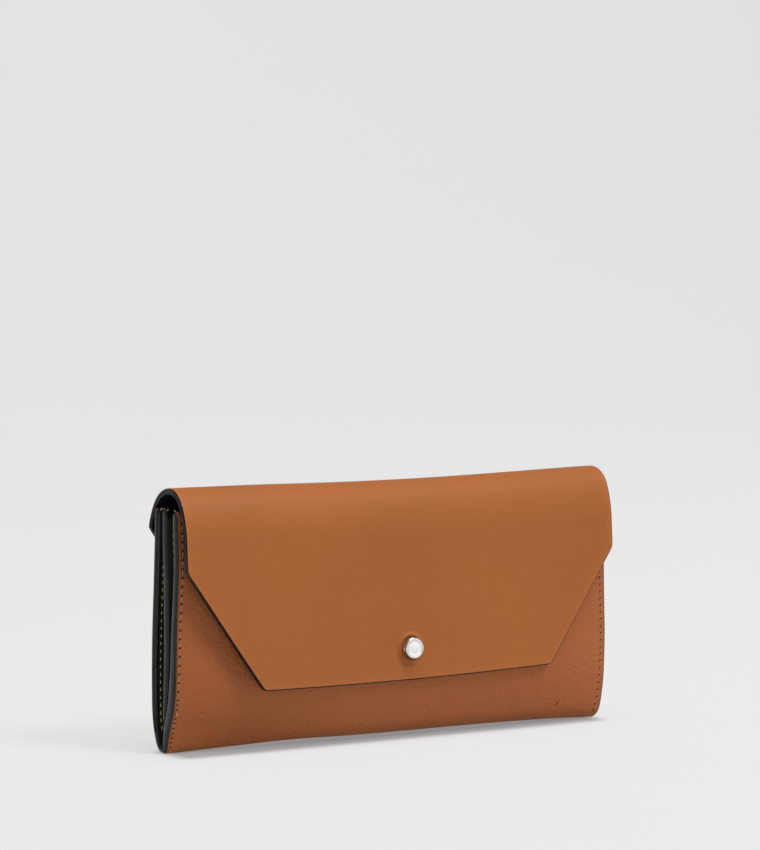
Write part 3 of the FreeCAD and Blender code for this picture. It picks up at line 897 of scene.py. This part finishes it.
def build_shell():
    near = [HALF - d for d in END_STEPS]
    xs = np.concatenate([-np.array(near[::-1]), np.linspace(-HALF + 6, HALF - 6, 84), near])
    depths = (PANEL, WALL)
    for name, bodies, s0, s1, nodes in SHELL_ZONES:
        ss = clustered(s0, s1, 1.2 if name in ("front", "back") else 0.5)
        line = ZONE_LINE.get(name)
        look = (shell_round, shell_rim, TAN_BODY)
        layers("body", name, shell_surface, xs, ss, depths, *look, bodies, nodes, line)
        cap = (1.5 if s0 == 0 else 0, 1.5 if s1 == SHELL_LEN else 0)
        seam_at = -0.25 if name == "back" else None
        for end_name, side in ENDS:
            x = np.full(len(ss), side * HALF)
            normals = -surface_normals(shell_surface, x, ss)
            normals[:, 0] = 0
            outward = np.tile([float(side), 0, 0], (len(ss), 1))
            edge = (shell_surface(x, ss), unit(normals), outward, RIM_DROP, thick_edge(ss), EDGE_BULGE)
            paint = bead(f"body_paint_{name}_{end_name}", *edge, PAINT, cap, 21, seam_at)
            put(paint, "dark_lining", bodies, None, line)
    for name, body, s in (("front", "front", 0.0), ("back", "root", SHELL_LEN)):
        x = np.linspace(-HALF + 0.2, HALF - 0.2, 120)
        normals = -surface_normals(shell_surface, x, np.full(len(x), abs(s - 0.01)))
        edge = (shell_surface(x, np.full(len(x), s)), normals, np.tile([0, 0, 1.0], (len(x), 1)))
        put(bead(f"body_paint_top_{name}", *edge, RIM_DROP, WALL + 0.05, 0.3, PAINT), "dark_lining", body)


# ---- divider, gussets, pockets

# middle of the divider's painted edge at the wallet's ends: height, y, thickness
DIVIDER_EDGE = [
    (14, 3.0, 2.4), (24, 2.3, 3.1), (35, 1.7, 3.5), (46, 1.7, 3.6), (57, 1.85, 3.6), (69, 2.15, 3.5),
    (80, 2.9, 3.3), (90, 3.1, 3.0),
]
DIVIDER = 1.0
ZIP_HALF = 79.0
LEAF_TOP = 84.0
FLOOR_Z = 16.2
GUSSET_DEPTH = 15.0
GUSSET_TOP = 88.0


def edge_value(z, column):
    return from_table(DIVIDER_EDGE, z, column)


def divider_y(x, z):
    """The divider's middle plane: flat over the zip, leaning with the painted edge towards the ends."""
    return edge_value(z, 1) * smooth((np.abs(x) - 72) / 21)


def leaf_surface(side):
    def surface(x, v):
        open_top = smooth((ZIP_HALF - np.abs(x)) / 0.6)
        top = WALL_TOP * (1 - open_top) + LEAF_TOP * open_top
        z = FLOOR_Z + v * (top - FLOOR_Z)
        return np.stack([x, divider_y(x, z) + side * DIVIDER, z], axis=-1)

    return surface


def tape_surface(side):
    def surface(x, z):
        return np.stack([x, divider_y(x, z) + side * 0.42, z], axis=-1)

    return surface


FRONT_TABLE = (SHELL_PATH[BOTTOM_I::-1, 1], SHELL_RUN[BOTTOM_I::-1])
REAR_TABLE = (SHELL_PATH[BOTTOM_I:, 1], SHELL_RUN[BOTTOM_I:])


def wall_inner(x, z, depth, front):
    """y under a wall's outer face, measured straight through."""
    s = np.interp(z, *(FRONT_TABLE if front else REAR_TABLE))
    return shell_surface(x, s)[..., 1] + (depth if front else -depth)


def gusset_surface(end, front):
    """A leaf on the wall, a soft fold and a leaf on the divider: t runs from wall to divider."""

    def surface(t, z):
        deep = np.where(t < 0.5, t, 1 - t) / 0.5
        reach = GUSSET_DEPTH * np.sin(np.clip(deep, 0, 1) * math.pi / 2) ** 0.85
        x = end * (HALF - 0.05 - reach)
        leg = smooth((t - 0.5) / 0.36 + 0.5)
        sink = (edge_value(z, 2) - GUSSET) / 2
        s = np.interp(z, *(FRONT_TABLE if front else REAR_TABLE))
        wall_y = wall_inner(x, z, thick_edge(s) - GUSSET / 2 - 0.1, front)
        leaf_y = divider_y(x, z) + (-1 if front else 1) * np.maximum(sink, DIVIDER + GUSSET / 2)
        return np.stack([x, wall_y * (1 - leg) + leaf_y * leg, z], axis=-1)

    return surface


def gusset_sheet(name, end, front, zs):
    """A closed sheet centred on a gusset's surface."""
    ts = np.linspace(0, 1, 45)
    return slab(name, gusset_surface(end, front), ts, zs, -GUSSET / 2, GUSSET / 2, DARK_GUSSET, 1)


def rounded_edge(name, points, thick, outward, across, bulge, material):
    """Edge paint along a leaf whose thickness varies: across points through the leaf."""
    run = run_along(points)
    cap = thick / 2
    sections = []
    for i, point in enumerate(points):
        close = min(1.0, max(0.0, (run[-1] - run[i]) / cap[i]))
        size = max(0.15, math.sqrt(1 - (1 - close) ** 2))
        ring = []
        for a in np.linspace(-math.pi / 2, math.pi / 2, 11):
            swell = math.cos(a) ** EDGE_POWER
            ring.append(point + across * cap[i] * size * math.sin(a) + outward * bulge * size * swell)
        ring += [ring[-1] - outward * 1.4, ring[0] - outward * 1.4]
        sections.append(np.array(ring))
    return sweep(name, sections, material)


TAPE_LOW, TAPE_TOP = 74, 86.2


def build_divider():
    xs = clustered(-HALF, HALF, 2.4, [(-HALF, -70), (-ZIP_HALF - 1, -ZIP_HALF + 1), (70, HALF)], 0.6)
    vs = np.linspace(0, 1, 40)
    tape_x = np.linspace(-ZIP_HALF + 0.3, ZIP_HALF - 0.3, 90)
    tape_z = np.linspace(TAPE_LOW, TAPE_TOP, 14)
    for name, side in (("rear", 1), ("front", -1)):
        leaf = slab(f"coin_leaf_skin_{name}", leaf_surface(side), xs, vs, 0, 0.6, DARK, side * -1.0)
        put(leaf, "dark_lining", "divider", f"coin_leaf_{name}")
        surface = tape_surface(side)
        tape = slab(f"zip_tape_weave_{name}", surface, tape_x, tape_z, 0.02, 0.40, TAPE, side * -1.0)
        put(tape, "zip_tape", "divider", f"zip_tape_{name}")
    for name, end, low in (("left", -1, 13.0), ("right", 1, 2.2)):
        zs = np.concatenate([np.linspace(low, 86, 64), np.linspace(86.4, SHELL_TOP + 0.3, 14)])
        ys = divider_y(np.full(len(zs), HALF), zs)
        points = np.stack([np.full(len(zs), end * (HALF - 0.05)), ys, zs], axis=1)
        points[:, 1] -= 1.6 * smooth((14 - zs) / 12)
        out, across = np.array([end, 0, 0.0]), np.array([0, 1.0, 0])
        thick = edge_value(zs, 2)
        paint = rounded_edge(f"divider_paint_{name}", points, thick, out, across, EDGE_BULGE, PAINT)
        put(paint, "dark_lining", "divider")

    def floor_surface(x, t):
        front_y = wall_inner(x, np.full_like(x, FLOOR_Z), 2.6, True)
        y = -1.05 * (1 - t) + np.minimum(front_y, -1.5) * t
        return np.stack([x, y, FLOOR_Z - 0.1 - 0.6 * np.sin(math.pi * t)], axis=-1)

    floor_x = np.linspace(-HALF + 3, HALF - 3, 60)
    floor = slab("front_pocket_floor_leather", floor_surface, floor_x, np.linspace(0, 1, 8), 0, 1.2, DARK, -1)
    put(floor, "dark_lining", "divider", "front_pocket_floor")


# the gussets and their seams: bodies, and the line from the first body's side to the second's
REAR_FOLD = (("root", "divider"), ((0, 4.4, 0), (0, 3.1, 0)))
FRONT_FOLD = (("divider", "front"), ((0, -1.0, 0), (0, -2.7, 0)))
GUSSETS = [("rear", False, REAR_FOLD, 3.4), ("front", True, FRONT_FOLD, 15.0)]


def build_gussets():
    for name, end in ENDS:
        for where, front, (bodies, line), low in GUSSETS:
            zs = np.concatenate([np.linspace(low, 30, 20)[:-1], np.linspace(30, GUSSET_TOP, 36)])
            leaf = gusset_sheet(f"gusset_fold_{where}_{name}", end, front, zs)
            put(leaf, "gusset_leather", bodies, f"gusset_{where}_{name}", line)
    # the full right fold has room for the front gusset's foot, below the fold's hinge
    foot = gusset_sheet("gusset_foot_right", 1, True, np.linspace(4.0, 15.2, 12))
    put(foot, "gusset_leather", "divider")


CARD = 0.5
POCKET_HALF = 78.0
CARD_TOPS = (84.0, 74.0, 64.0)
CARD_BOTTOM = 22.0
SLIP_TOP = 62.0
HEM = 2.2


def pocket(label, number, surface, body, node, s_at, top, depth, inward):
    """A flat pocket inside a wall, with its painted lip and a seam below it."""
    xs = np.linspace(-POCKET_HALF, POCKET_HALF, 80)
    ss = np.linspace(*sorted((s_at(CARD_BOTTOM), s_at(top))), 26)
    leaf = slab(f"{label}_leather{number}", surface, xs, ss, depth, depth + CARD, DARK, -1)
    put(leaf, "dark_lining", body, node)
    inside = np.array([0, inward, 0])

    def line(z, under):
        s = np.array([s_at(z)])
        return [surface(np.array([x]), s)[0] + inside * under for x in xs[1:-1]]

    lip = tube(f"{label}_edge{number}", line(top, depth + CARD / 2), 0.34, PAINT, 8)
    put(lip, "dark_lining", body)
    seam(f"{label}_seam{number}", line(top - HEM, depth + CARD), inside, 2.6, THREAD_DARK, body)


def build_pockets():
    for index, top in enumerate(CARD_TOPS):

        def row(x, s, index=index):
            p = shell_surface(x, s)
            sag = 0.12 * np.sin(x / 13.0 + index * 1.7) * smooth((p[..., 2] - 30) / 40)
            return p + np.stack([0 * x, -0.25 - 0.05 * index + sag, 0 * x], axis=-1)

        number = f"_{index + 1}"
        pocket("card_row", number, row, "root", f"card_row{number}", s_rear, top, WALL + CARD * index, -1.0)

    def slip(x, s):
        return shell_surface(x, s) + np.stack([0 * x, 0.25 + 0.1 * np.sin(x / 17.0), 0 * x], axis=-1)

    pocket("slip_pocket", "", slip, "front", "front_slip_pocket", s_front, SLIP_TOP, WALL, 1.0)


# ---- stitching


def circle(steps):
    return np.linspace(0, 2 * math.pi, steps, endpoint=False)


def tube(name, path, radius, material, steps=10, closed=False, taper=False):
    """A round cord along a path."""
    path = np.asarray(path, float)
    if closed:
        tangent = unit(np.roll(path, -1, axis=0) - np.roll(path, 1, axis=0))
    else:
        tangent = unit(np.gradient(path, axis=0))
    side = np.cross(tangent[0], [0.31, 0.52, 0.79])
    sections = []
    for i, t in enumerate(tangent):
        side = unit(side - t * (side @ t))
        other = np.cross(t, side)
        size = radius
        if taper:
            size = radius * (0.35 + 0.65 * math.sin(math.pi * (i / (len(path) - 1))) ** 0.4)
        ring = [path[i] + (side * math.cos(a) + other * math.sin(a)) * size for a in circle(steps)]
        sections.append(np.array(ring))
    return sweep(name, sections, material, closed)


def resample(line, pitch):
    line = np.asarray(line, float)
    run = run_along(line)
    at = np.linspace(0, run[-1], max(2, int(round(run[-1] / pitch)) + 1))
    return np.stack([np.interp(at, run, line[:, k]) for k in range(3)], axis=1)


# rings of a needle hole: height over the leather and share of its radius
HOLE_RINGS = ((0.0, 1.0), (0.035, 0.72), (0.045, 0.05))


def seam(name, line, normal, pitch, material, bodies, at=None, radius=0.30, hole=0.42, slot="dark_lining"):
    """Saddle stitches along a line: raised threads that dip into dark needle holes. normal is one vector or a
    function, and at is a line handed on to put with the bodies."""
    points = resample(line, pitch)
    threads, holes = [], []
    for a, b in zip(points[:-1], points[1:]):
        n = unit(np.asarray(normal((a + b) / 2) if callable(normal) else normal, float))
        along = unit(b - a)
        across = np.cross(along, n)
        slant = across * random.uniform(0.05, 0.14)
        wobble = across * random.uniform(-0.04, 0.04)
        path = []
        for u in np.linspace(0.06, 0.94, 11):
            lift = radius * 1.35 * math.exp(-(((u - 0.24) / 0.17) ** 2)) - radius * 0.98
            path.append(a + (b - a) * u + slant * (u - 0.5) * 2 + wobble + n * lift)
        threads.append(tube("thread", path, radius, material, 7, taper=True))
        rings = []
        for h, r in HOLE_RINGS:
            rays = [(along * math.cos(t) + across * math.sin(t) * 0.85) * hole * r for t in circle(10)]
            rings.append(np.array([a + wobble + n * h + ray for ray in rays]))
        low = [np.array([q - n * 0.12 for q in rings[0]])]
        holes.append(sweep("hole", low + rings, HOLE))
    put(join(f"{name}_thread", threads), slot, bodies, None, at)
    put(join(f"{name}_holes", holes), slot, bodies, None, at)


def on_shell(x, s, lift=0.0):
    """A point and normal on the body leather's outer face."""
    x, s = np.atleast_1d(np.asarray(x, float)), np.atleast_1d(np.asarray(s, float))
    n = -surface_normals(shell_surface, x, s)
    return (shell_surface(x, s) + n * lift), n


def nearest(line, normals):
    """Gives the normal of the line's point that is nearest to a place."""
    return lambda p: normals[int(np.argmin(np.linalg.norm(line - p, axis=1)))]


def side_seam(name, end, s0, s1, pitch, bodies, at=None, **thread):
    """Stitches down one side of the shell."""
    ss = np.linspace(s0, s1, 120)
    line, normals = on_shell(end * (HALF - stitch_inset(end, ss)), ss)
    seam(name, line, nearest(line, normals), pitch, THREAD_TAN, bodies, at, slot="tan_leather", **thread)


# stretches of the front's side seams, over the fold to the base: name, bodies, from, to, line of the bend
FRONT_SEAMS = [
    ("panel", "front", 1.2, S_FOLD_TOP, None),
    ("fold", ("divider", "front"), S_FOLD_TOP, S_FOLD_LOW, ZONE_LINE["front_fold"]),
    ("foot", "divider", S_FOLD_LOW, S_BASE_FRONT, None),
    ("base", ("root", "divider"), S_BASE_FRONT, s_front(1.0), ZONE_LINE["base"]),
]
# seams on the gusset leaves' front faces: place from wall to divider, low and high end
GUSSET_SEAMS = [("rear", 0.022, 8, 86, REAR_FOLD), ("front", 0.965, 24, 86.5, FRONT_FOLD)]
# thread ends at the top of the edges: y of root and tip, body, thread
THREAD_ENDS = [
    (7.4, 6.0, "root", THREAD_DARK), (3.6, 5.1, "divider", THREAD_TAN),
    (2.4, 1.2, "divider", THREAD_DARK), (-4.5, -3.3, "front", THREAD_DARK),
]
THREAD_CURL = [(0.7, 0.0, -1.4), (0.5, 0.1, -0.2), (0.4, 0.5, 0.35), (0.3, 0.85, 0.45), (0.3, 1.0, 0.2)]
TAIL_INSET = 2.6


def build_stitching():
    for name, end in ENDS:
        for zone, bodies, s0, s1, at in FRONT_SEAMS:
            pitch = 2.8 if end > 0 else 3.25 if zone == "panel" else 1.9
            hole = 0.52 if end < 0 else 0.44
            side_seam(f"front_seam_{name}_{zone}", end, s0, s1, pitch, bodies, at, radius=0.32, hole=hole)
        side_seam(f"back_seam_{name}", end, s_rear(9), s_rear(TAIL_CORNER_Z - 2), 3.0, "root")
        for where, t, low, high, (bodies, at) in GUSSET_SEAMS:
            zs = np.linspace(low, high, 100)
            surface = gusset_surface(end, where == "front")
            line = surface(np.full(len(zs), t), zs) + np.array([0, -GUSSET / 2, 0])
            # the gusset seams take the paler copy of the olive thread, a painted highlight against the
            # gussets' shade
            thread = (np.array([0, -1.0, 0]), 2.9, THREAD_OLIVE_LIT)
            seam(f"gusset_seam_{where}_{name}", line, *thread, bodies, at, 0.25, 0.3, "gusset_leather")
    # the double stitch where the left seam turns onto the fold
    s = s_front(KNOT_Z)
    x = -HALF + stitch_inset(-1, s) + np.array([-0.15, 0.2, 0.1])
    knot, _ = on_shell(x, s + np.array([-1.1, 0.0, 1.1]), 0.2)
    knot = tube("seam_knot", resample(knot, 0.2), 0.42, THREAD_TAN, 10, taper=True)
    put(knot, "tan_leather", ("divider", "front"), None, ZONE_LINE["front_fold"])
    # a stray fibre on the front, near the bottom at the right
    fibre, _ = on_shell(np.linspace(73.0, 74.4, 5), s_front(6.2) + np.linspace(0, -2.0, 5), 0.06)
    put(tube("fibre", fibre, 0.10, HOLE, 6), "dark_lining", "divider")
    for k, (root_y, tip_y, body, material) in enumerate(THREAD_ENDS):
        path = [(-HALF + dx, root_y + (tip_y - root_y) * t, WALL_TOP + 1.1 + dz) for dx, t, dz in THREAD_CURL]
        put(tube(f"thread_end_{k + 1}", path, 0.22, material, 8), "tan_leather", body)
    # and one under the bottom fold
    s = np.array([s_front(z) for z in (1.3, 0.9, 0.5)])
    low_end = shell_surface(np.full(3, -HALF + 1.2), s) - np.array([0, 0.25, 0])
    put(tube("thread_end_5", low_end, 0.3, THREAD_TAN, 8), "tan_leather", "root")
    # the tail's seam on the back, round its slanted ends
    q_low, q_high = TAIL_INSET, Q_TAIL_CORNER - 1.0
    left = [(-1, q) for q in np.linspace(q_high, q_low, 40)]
    low = [(u, q_low) for u in np.linspace(-1, 1, 60)[1:-1]]
    right = [(1, q) for q in np.linspace(q_low, q_high, 40)]
    u, q = np.array(left + low + right).T
    u = u * (1 - TAIL_INSET / half_width(np.maximum(q, CORNER_R)))
    line = flap_surface(u, q)
    normals = -surface_normals(flap_surface, u, q)
    seam("tail_seam", line, nearest(line, normals), 3.0, THREAD_TAN, "root", slot="tan_leather")


# ---- zip and snap


TOOTH_PITCH = 1.5
TOOTH_ROW = 72.6
TOOTH_HALF = 0.36
# half of the slider plate's outline, and its rings: height, share of the outline
SLIDER_SIDE = [(-4.75, 1.5), (-3.9, 2.35), (-1.0, 2.6), (2.2, 2.2), (4.2, 1.5), (4.75, 0.9)]
SLIDER_RINGS = ((87.72, 0.82), (87.8, 0.97), (88.1, 1.0), (88.6, 0.98), (88.86, 0.86), (88.9, 0.7))
LINK_BEND = 0.8


def build_zip():
    for name, side, shift in (("rear", 1, 0.0), ("front", -1, TOOTH_PITCH / 2)):
        teeth = []
        x = -TOOTH_ROW + shift
        y0, y1 = sorted((side * -0.30, side * 1.05))
        while x < TOOTH_ROW:
            low, high = (x - TOOTH_HALF, y0, 86.05), (x + TOOTH_HALF, y1, 87.35)
            teeth.append(rounded_box("tooth", low, high, 0.16, ZIP_METAL, 1))
            x += TOOTH_PITCH
        put(join(f"zip_teeth_{name}", teeth), "zip_coil", "divider", f"zip_coil_{name}")
    for name, end in ENDS:
        stop = rounded_box(f"zip_stop_cast_{name}", *node_box(f"zip_stop_{name}"), 0.35, ZIP_METAL)
        put(stop, "zip_metal", "divider", f"zip_stop_{name}")
        x0, x1 = sorted((end * 75.4, end * 79.2))
        tab = rounded_box(f"zip_tab_fold_{name}", (x0, -1.45, 83.6), (x1, 1.45, 88.2), 0.6, TAN_BODY, 3)
        put(tab, "tan_leather", "divider", "zip_end_tabs" if name == "left" else None)
    low, high = node_box("zip_slider")
    cx = (low[0] + high[0]) / 2
    outline = SLIDER_SIDE + [(x, -y) for x, y in SLIDER_SIDE[::-1]]
    rings = [np.array([(cx + x * grow, y * grow, z) for x, y in outline]) for z, grow in SLIDER_RINGS]
    plate = sweep("slider_plate", rings, ZIP_METAL)
    clean(plate)
    pieces = [plate]
    for side in (-1, 1):
        y0, y1 = sorted((side * 1.62, side * 2.45))
        low, high = (cx - 3.9, y0, 84.75), (cx + 3.6, y1, 88.2)
        pieces.append(rounded_box("slider_flange", low, high, 0.3, ZIP_METAL, 2))
    turn = np.linspace(0, math.pi, 15)
    arch = [(cx - 2.55 * math.cos(a), 0, 88.5 + 2.4 * math.sin(a) ** 0.55) for a in turn]
    pieces.append(tube("slider_bridge", arch, 0.44, ZIP_METAL, 10))
    put(join("zip_slider_cast", pieces), "zip_metal", "slider", "zip_slider")

    low, high = node_box("pull_link")
    z = (low[2] + high[2]) / 2
    x0, x1 = cx + LINK_BEND, high[0] - 0.35 - LINK_BEND
    y = high[1] - 0.4 - LINK_BEND
    loop = []
    for px, py, a0 in ((x1, y, 0), (x0, y, 90), (x0, -y, 180), (x1, -y, 270)):
        for a in np.radians(np.linspace(a0, a0 + 90, 7)):
            loop.append((px + LINK_BEND * math.cos(a), py + LINK_BEND * math.sin(a), z))
    wire = tube("pull_link_wire", loop, 0.40, ZIP_METAL, 12, closed=True)
    put(wire, "zip_metal", "puller", "pull_link")
    strap(*node_box("pull_tab"), z)


def strap(low, high, z):
    """The leather pull: a narrow strip that widens from the link, with its end rounded and a row of stitches.
    """

    def half(x):
        body = 1.25 + (high[1] - 1.35) * smooth((x - low[0]) / 2.6)
        return body - fillet(high[0] - x, 2.3, 1.0)

    def outer(u, x):
        thick = 0.84 + 0.10 * np.cos(np.clip((x - low[0]) / 3, 0, math.pi))
        return np.stack([x, u * half(x), z + thick - 0.12 * np.abs(u) ** 4], axis=-1)

    xs = np.linspace(low[0], high[0] - 0.01, 50)
    tab = slab("pull_tab_leather", outer, np.linspace(-1, 1, 17), xs, 0, 1.75, TAN_BODY, -1)
    put(tab, "tan_leather", "puller", "pull_tab")
    seam_x = np.linspace(low[0] + 2.4, high[0] - 2.6, 12)
    line = [outer(np.array([0.62]), np.array([x]))[0] for x in seam_x]
    up = np.array([0, 0, 1.0])
    seam("pull_tab_seam", line, up, 1.9, THREAD_TAN, "puller", radius=0.16, hole=0.2, slot="tan_leather")


CAP_FACE = 3.45
# the cap's face and rim: radius under the cap's own, depth under its face; then its neck, and the post below
CAP_RIM = [
    (0.95, 0.06), (0.72, 0.01), (0.45, -0.03), (0.2, 0.03), (0.06, 0.16), (0, 0.36), (0.01, 1.2),
    (0.08, 1.45), (0.35, 1.62),
]
CAP_POST = [(2.3, 0.35), (2.9, 0.1), (3.1, -0.1), (1.3, -0.2), (1.3, -2.9), (0, -2.9)]
SOCKET = [
    (2.62, 0.0), (4.3, 0.0), (4.6, -0.3), (4.6, -0.75), (4.1, -1.1), (3.75, -2.1), (3.5, -2.4), (2.95, -2.4),
    (2.6, -2.1), (2.6, -0.72), (2.62, 0.0),
]
STUD = [
    (0, 1.85), (1.3, 1.85), (1.75, 1.7), (1.9, 1.35), (1.85, 1.05), (1.45, 0.75), (1.45, 0.5), (2.2, 0.36),
    (3.7, 0.3), (4.1, 0.15), (4.2, -0.05), (0, -0.05),
]
RIVET = [(0, 0.05), (3.6, 0.05), (3.95, 0.2), (3.95, 0.4), (3.5, 0.55), (0, 0.6)]


def build_snap():
    axis = np.array([0, -math.cos(LEAN), math.sin(LEAN)])
    seat = flap_surface(np.array([0.0]), np.array([Q_SNAP]))[0]
    inner = seat - axis * FLAP
    base = on_shell(0.0, s_front(STUD_MID_Z))[0][0]
    ahead = np.array([0, -1.0, 0])
    cap = [(0, CAP_FACE - 0.04), (CAP_R * 0.55, CAP_FACE - 0.05)]
    cap += [(CAP_R - inset, CAP_FACE - depth) for inset, depth in CAP_RIM]
    cap += [(2.5, CAP_FACE - 1.7), (2.3, CAP_FACE - 1.95)] + CAP_POST
    rivet = [(r, -PANEL - depth) for r, depth in RIVET]
    put(lathe("snap_cap_turned", cap, seat, axis, CAP_METAL, 96), "snap_metal", "flap", "snap_cap")
    put(lathe("snap_socket_turned", SOCKET, inner, axis, CAP_METAL, 64), "snap_metal", "flap", "snap_socket")
    side = Vector(axis).orthogonal().normalized()
    other = Vector(axis).cross(side)
    coil = []
    for a in np.linspace(0.25, 2 * math.pi - 0.25, 40):
        ray = np.array(side) * math.cos(a) + np.array(other) * math.sin(a)
        coil.append(inner - axis * 1.35 + ray * 2.55)
    put(tube("snap_spring_wire", coil, 0.26, ZIP_METAL, 8), "spring_metal", "flap", "snap_spring")
    put(lathe("snap_stud_turned", STUD, base, ahead, CAP_METAL, 64), "snap_metal", "front", "snap_stud")
    put(lathe("snap_rivet_turned", rivet, base, ahead, CAP_METAL, 48), "snap_metal", "front", "snap_rivet")


# ---- camera, light, floor


FLOOR_GLOW = 0.60
SKY = 0.25
BRIM = 450
# name, azimuth from straight in front towards +X, height angle, distance, size, power
LIGHTS = [
    ("key", 25.0, 51.0, 4.0, 1.25, 84.5),
    ("top", 10.0, 82.0, 3.2, 2.2, 61.0),
    ("card", 33.0, 15.0, 3.0, 1.5, 4.6),
]
FLOOR_END = 5000
# a painted contact shadow: the paper's glow dims next to the wallet's base
# half of the wallet's base, and how much of the glow is left next to it and how far that reaches, in metres
BASE_X, BASE_Y = 0.090, 0.006
PAINTED_SHADOW_GLOW, PAINTED_SHADOW_REACH = 0.40, 0.010


def build_studio():
    """A pale paper sweep glowing a little to stay even, with a painted contact shadow, three soft lights, a
    dim white sky.
    """
    rear = np.linspace(-FLOOR_END, -3000, 10)
    depths = np.concatenate([rear, np.linspace(-2800, 1000, 10), np.linspace(1100, 3600, 40)])
    sides = np.concatenate([rear, np.linspace(-2400, 2400, 9), np.linspace(3000, FLOOR_END, 10)])
    back = 2600 * smooth((depths - 1100) / 3600) ** 1.2
    brim = [[BRIM * smooth((np.hypot(min(y, 0), x) - 3200) / 1800) for x in sides] for y in depths]
    points = [(x, y, max(back[i], brim[i][j])) for i, y in enumerate(depths) for j, x in enumerate(sides)]
    n = Nodes("studio_paper")
    n.colour(n.mix(n.noise(6, 2), (0.176, 0.176, 0.176), (0.184, 0.184, 0.184)))
    n.set(Roughness=0.9, Specular_IOR_Level=0.1, Emission_Strength=FLOOR_GLOW)
    # the paper glows less where the wallet stands over it: a painted contact shadow
    axes = n.add("ShaderNodeSeparateXYZ")
    n.wire(n.place, axes.inputs[0])
    beyond = []
    for axis, half in (("X", BASE_X), ("Y", BASE_Y)):
        past = n.math("SUBTRACT", n.math("ABSOLUTE", axes.outputs[axis], 0.0), half)
        beyond.append(n.math("MAXIMUM", past, 0.0))
    squares = n.math("ADD", n.math("POWER", beyond[0], 2.0), n.math("POWER", beyond[1], 2.0))
    away = n.math("SQRT", squares, 0.0)
    glow = n.remap(away, PAINTED_SHADOW_GLOW, 1.0, 0.0, PAINTED_SHADOW_REACH, interpolation_type="SMOOTHSTEP")
    n.wire(n.mix(glow, (0.0, 0.0, 0.0), (1.0, 1.0, 0.995)), n.shader.inputs["Emission Color"])
    mesh_piece("studio_sweep", points, grid_faces(len(depths), len(sides)), n.material)
    for name, azimuth, height, distance, size, power in LIGHTS:
        light = bpy.data.lights.new(name, "AREA")
        light.shape, light.size, light.energy = "DISK", size, power
        lamp = link(bpy.data.objects.new(name, light))
        turn, lift = math.radians(azimuth), math.radians(height)
        towards = Vector((math.sin(turn) * math.cos(lift), -math.cos(turn) * math.cos(lift), math.sin(lift)))
        lamp.location = towards * distance
        lamp.rotation_euler = (-towards).to_track_quat("-Z", "Y").to_euler()
    world = bpy.data.worlds.new("studio")
    world.use_nodes = True
    world.node_tree.nodes["Background"].inputs["Color"].default_value = (1, 1, 1, 1)
    world.node_tree.nodes["Background"].inputs["Strength"].default_value = SKY
    bpy.context.scene.world = world
    bpy.context.scene.view_settings.view_transform = "Standard"


# angles in degrees, lengths in mm
CAMERA_YAW = 32.0
CAMERA_PITCH = 4.30
CAMERA_ROLL = 0.25
CAMERA_DISTANCE = 1464.4
CAMERA_TARGET = (-3.22, 0.29, 119.6)
CAMERA_LENS = 162.6


def build_camera():
    data = bpy.data.cameras.new("camera")
    data.lens = CAMERA_LENS
    data.sensor_width = 36.0
    data.clip_end = 50
    camera = link(bpy.data.objects.new("camera", data))
    yaw, pitch = math.radians(CAMERA_YAW), math.radians(CAMERA_PITCH)
    look = Vector((math.sin(yaw) * math.cos(pitch), math.cos(yaw) * math.cos(pitch), -math.sin(pitch)))
    camera.location = (Vector(CAMERA_TARGET) - look * CAMERA_DISTANCE) * MM
    camera.rotation_mode = "QUATERNION"
    turn = look.to_track_quat("-Z", "Y")
    camera.rotation_quaternion = turn @ Quaternion((0, 0, 1), math.radians(CAMERA_ROLL))
    bpy.context.scene.camera = camera


build_flap()
build_shell()
build_divider()
build_gussets()
build_pockets()
build_stitching()
build_zip()
build_snap()
build_studio()
build_camera()
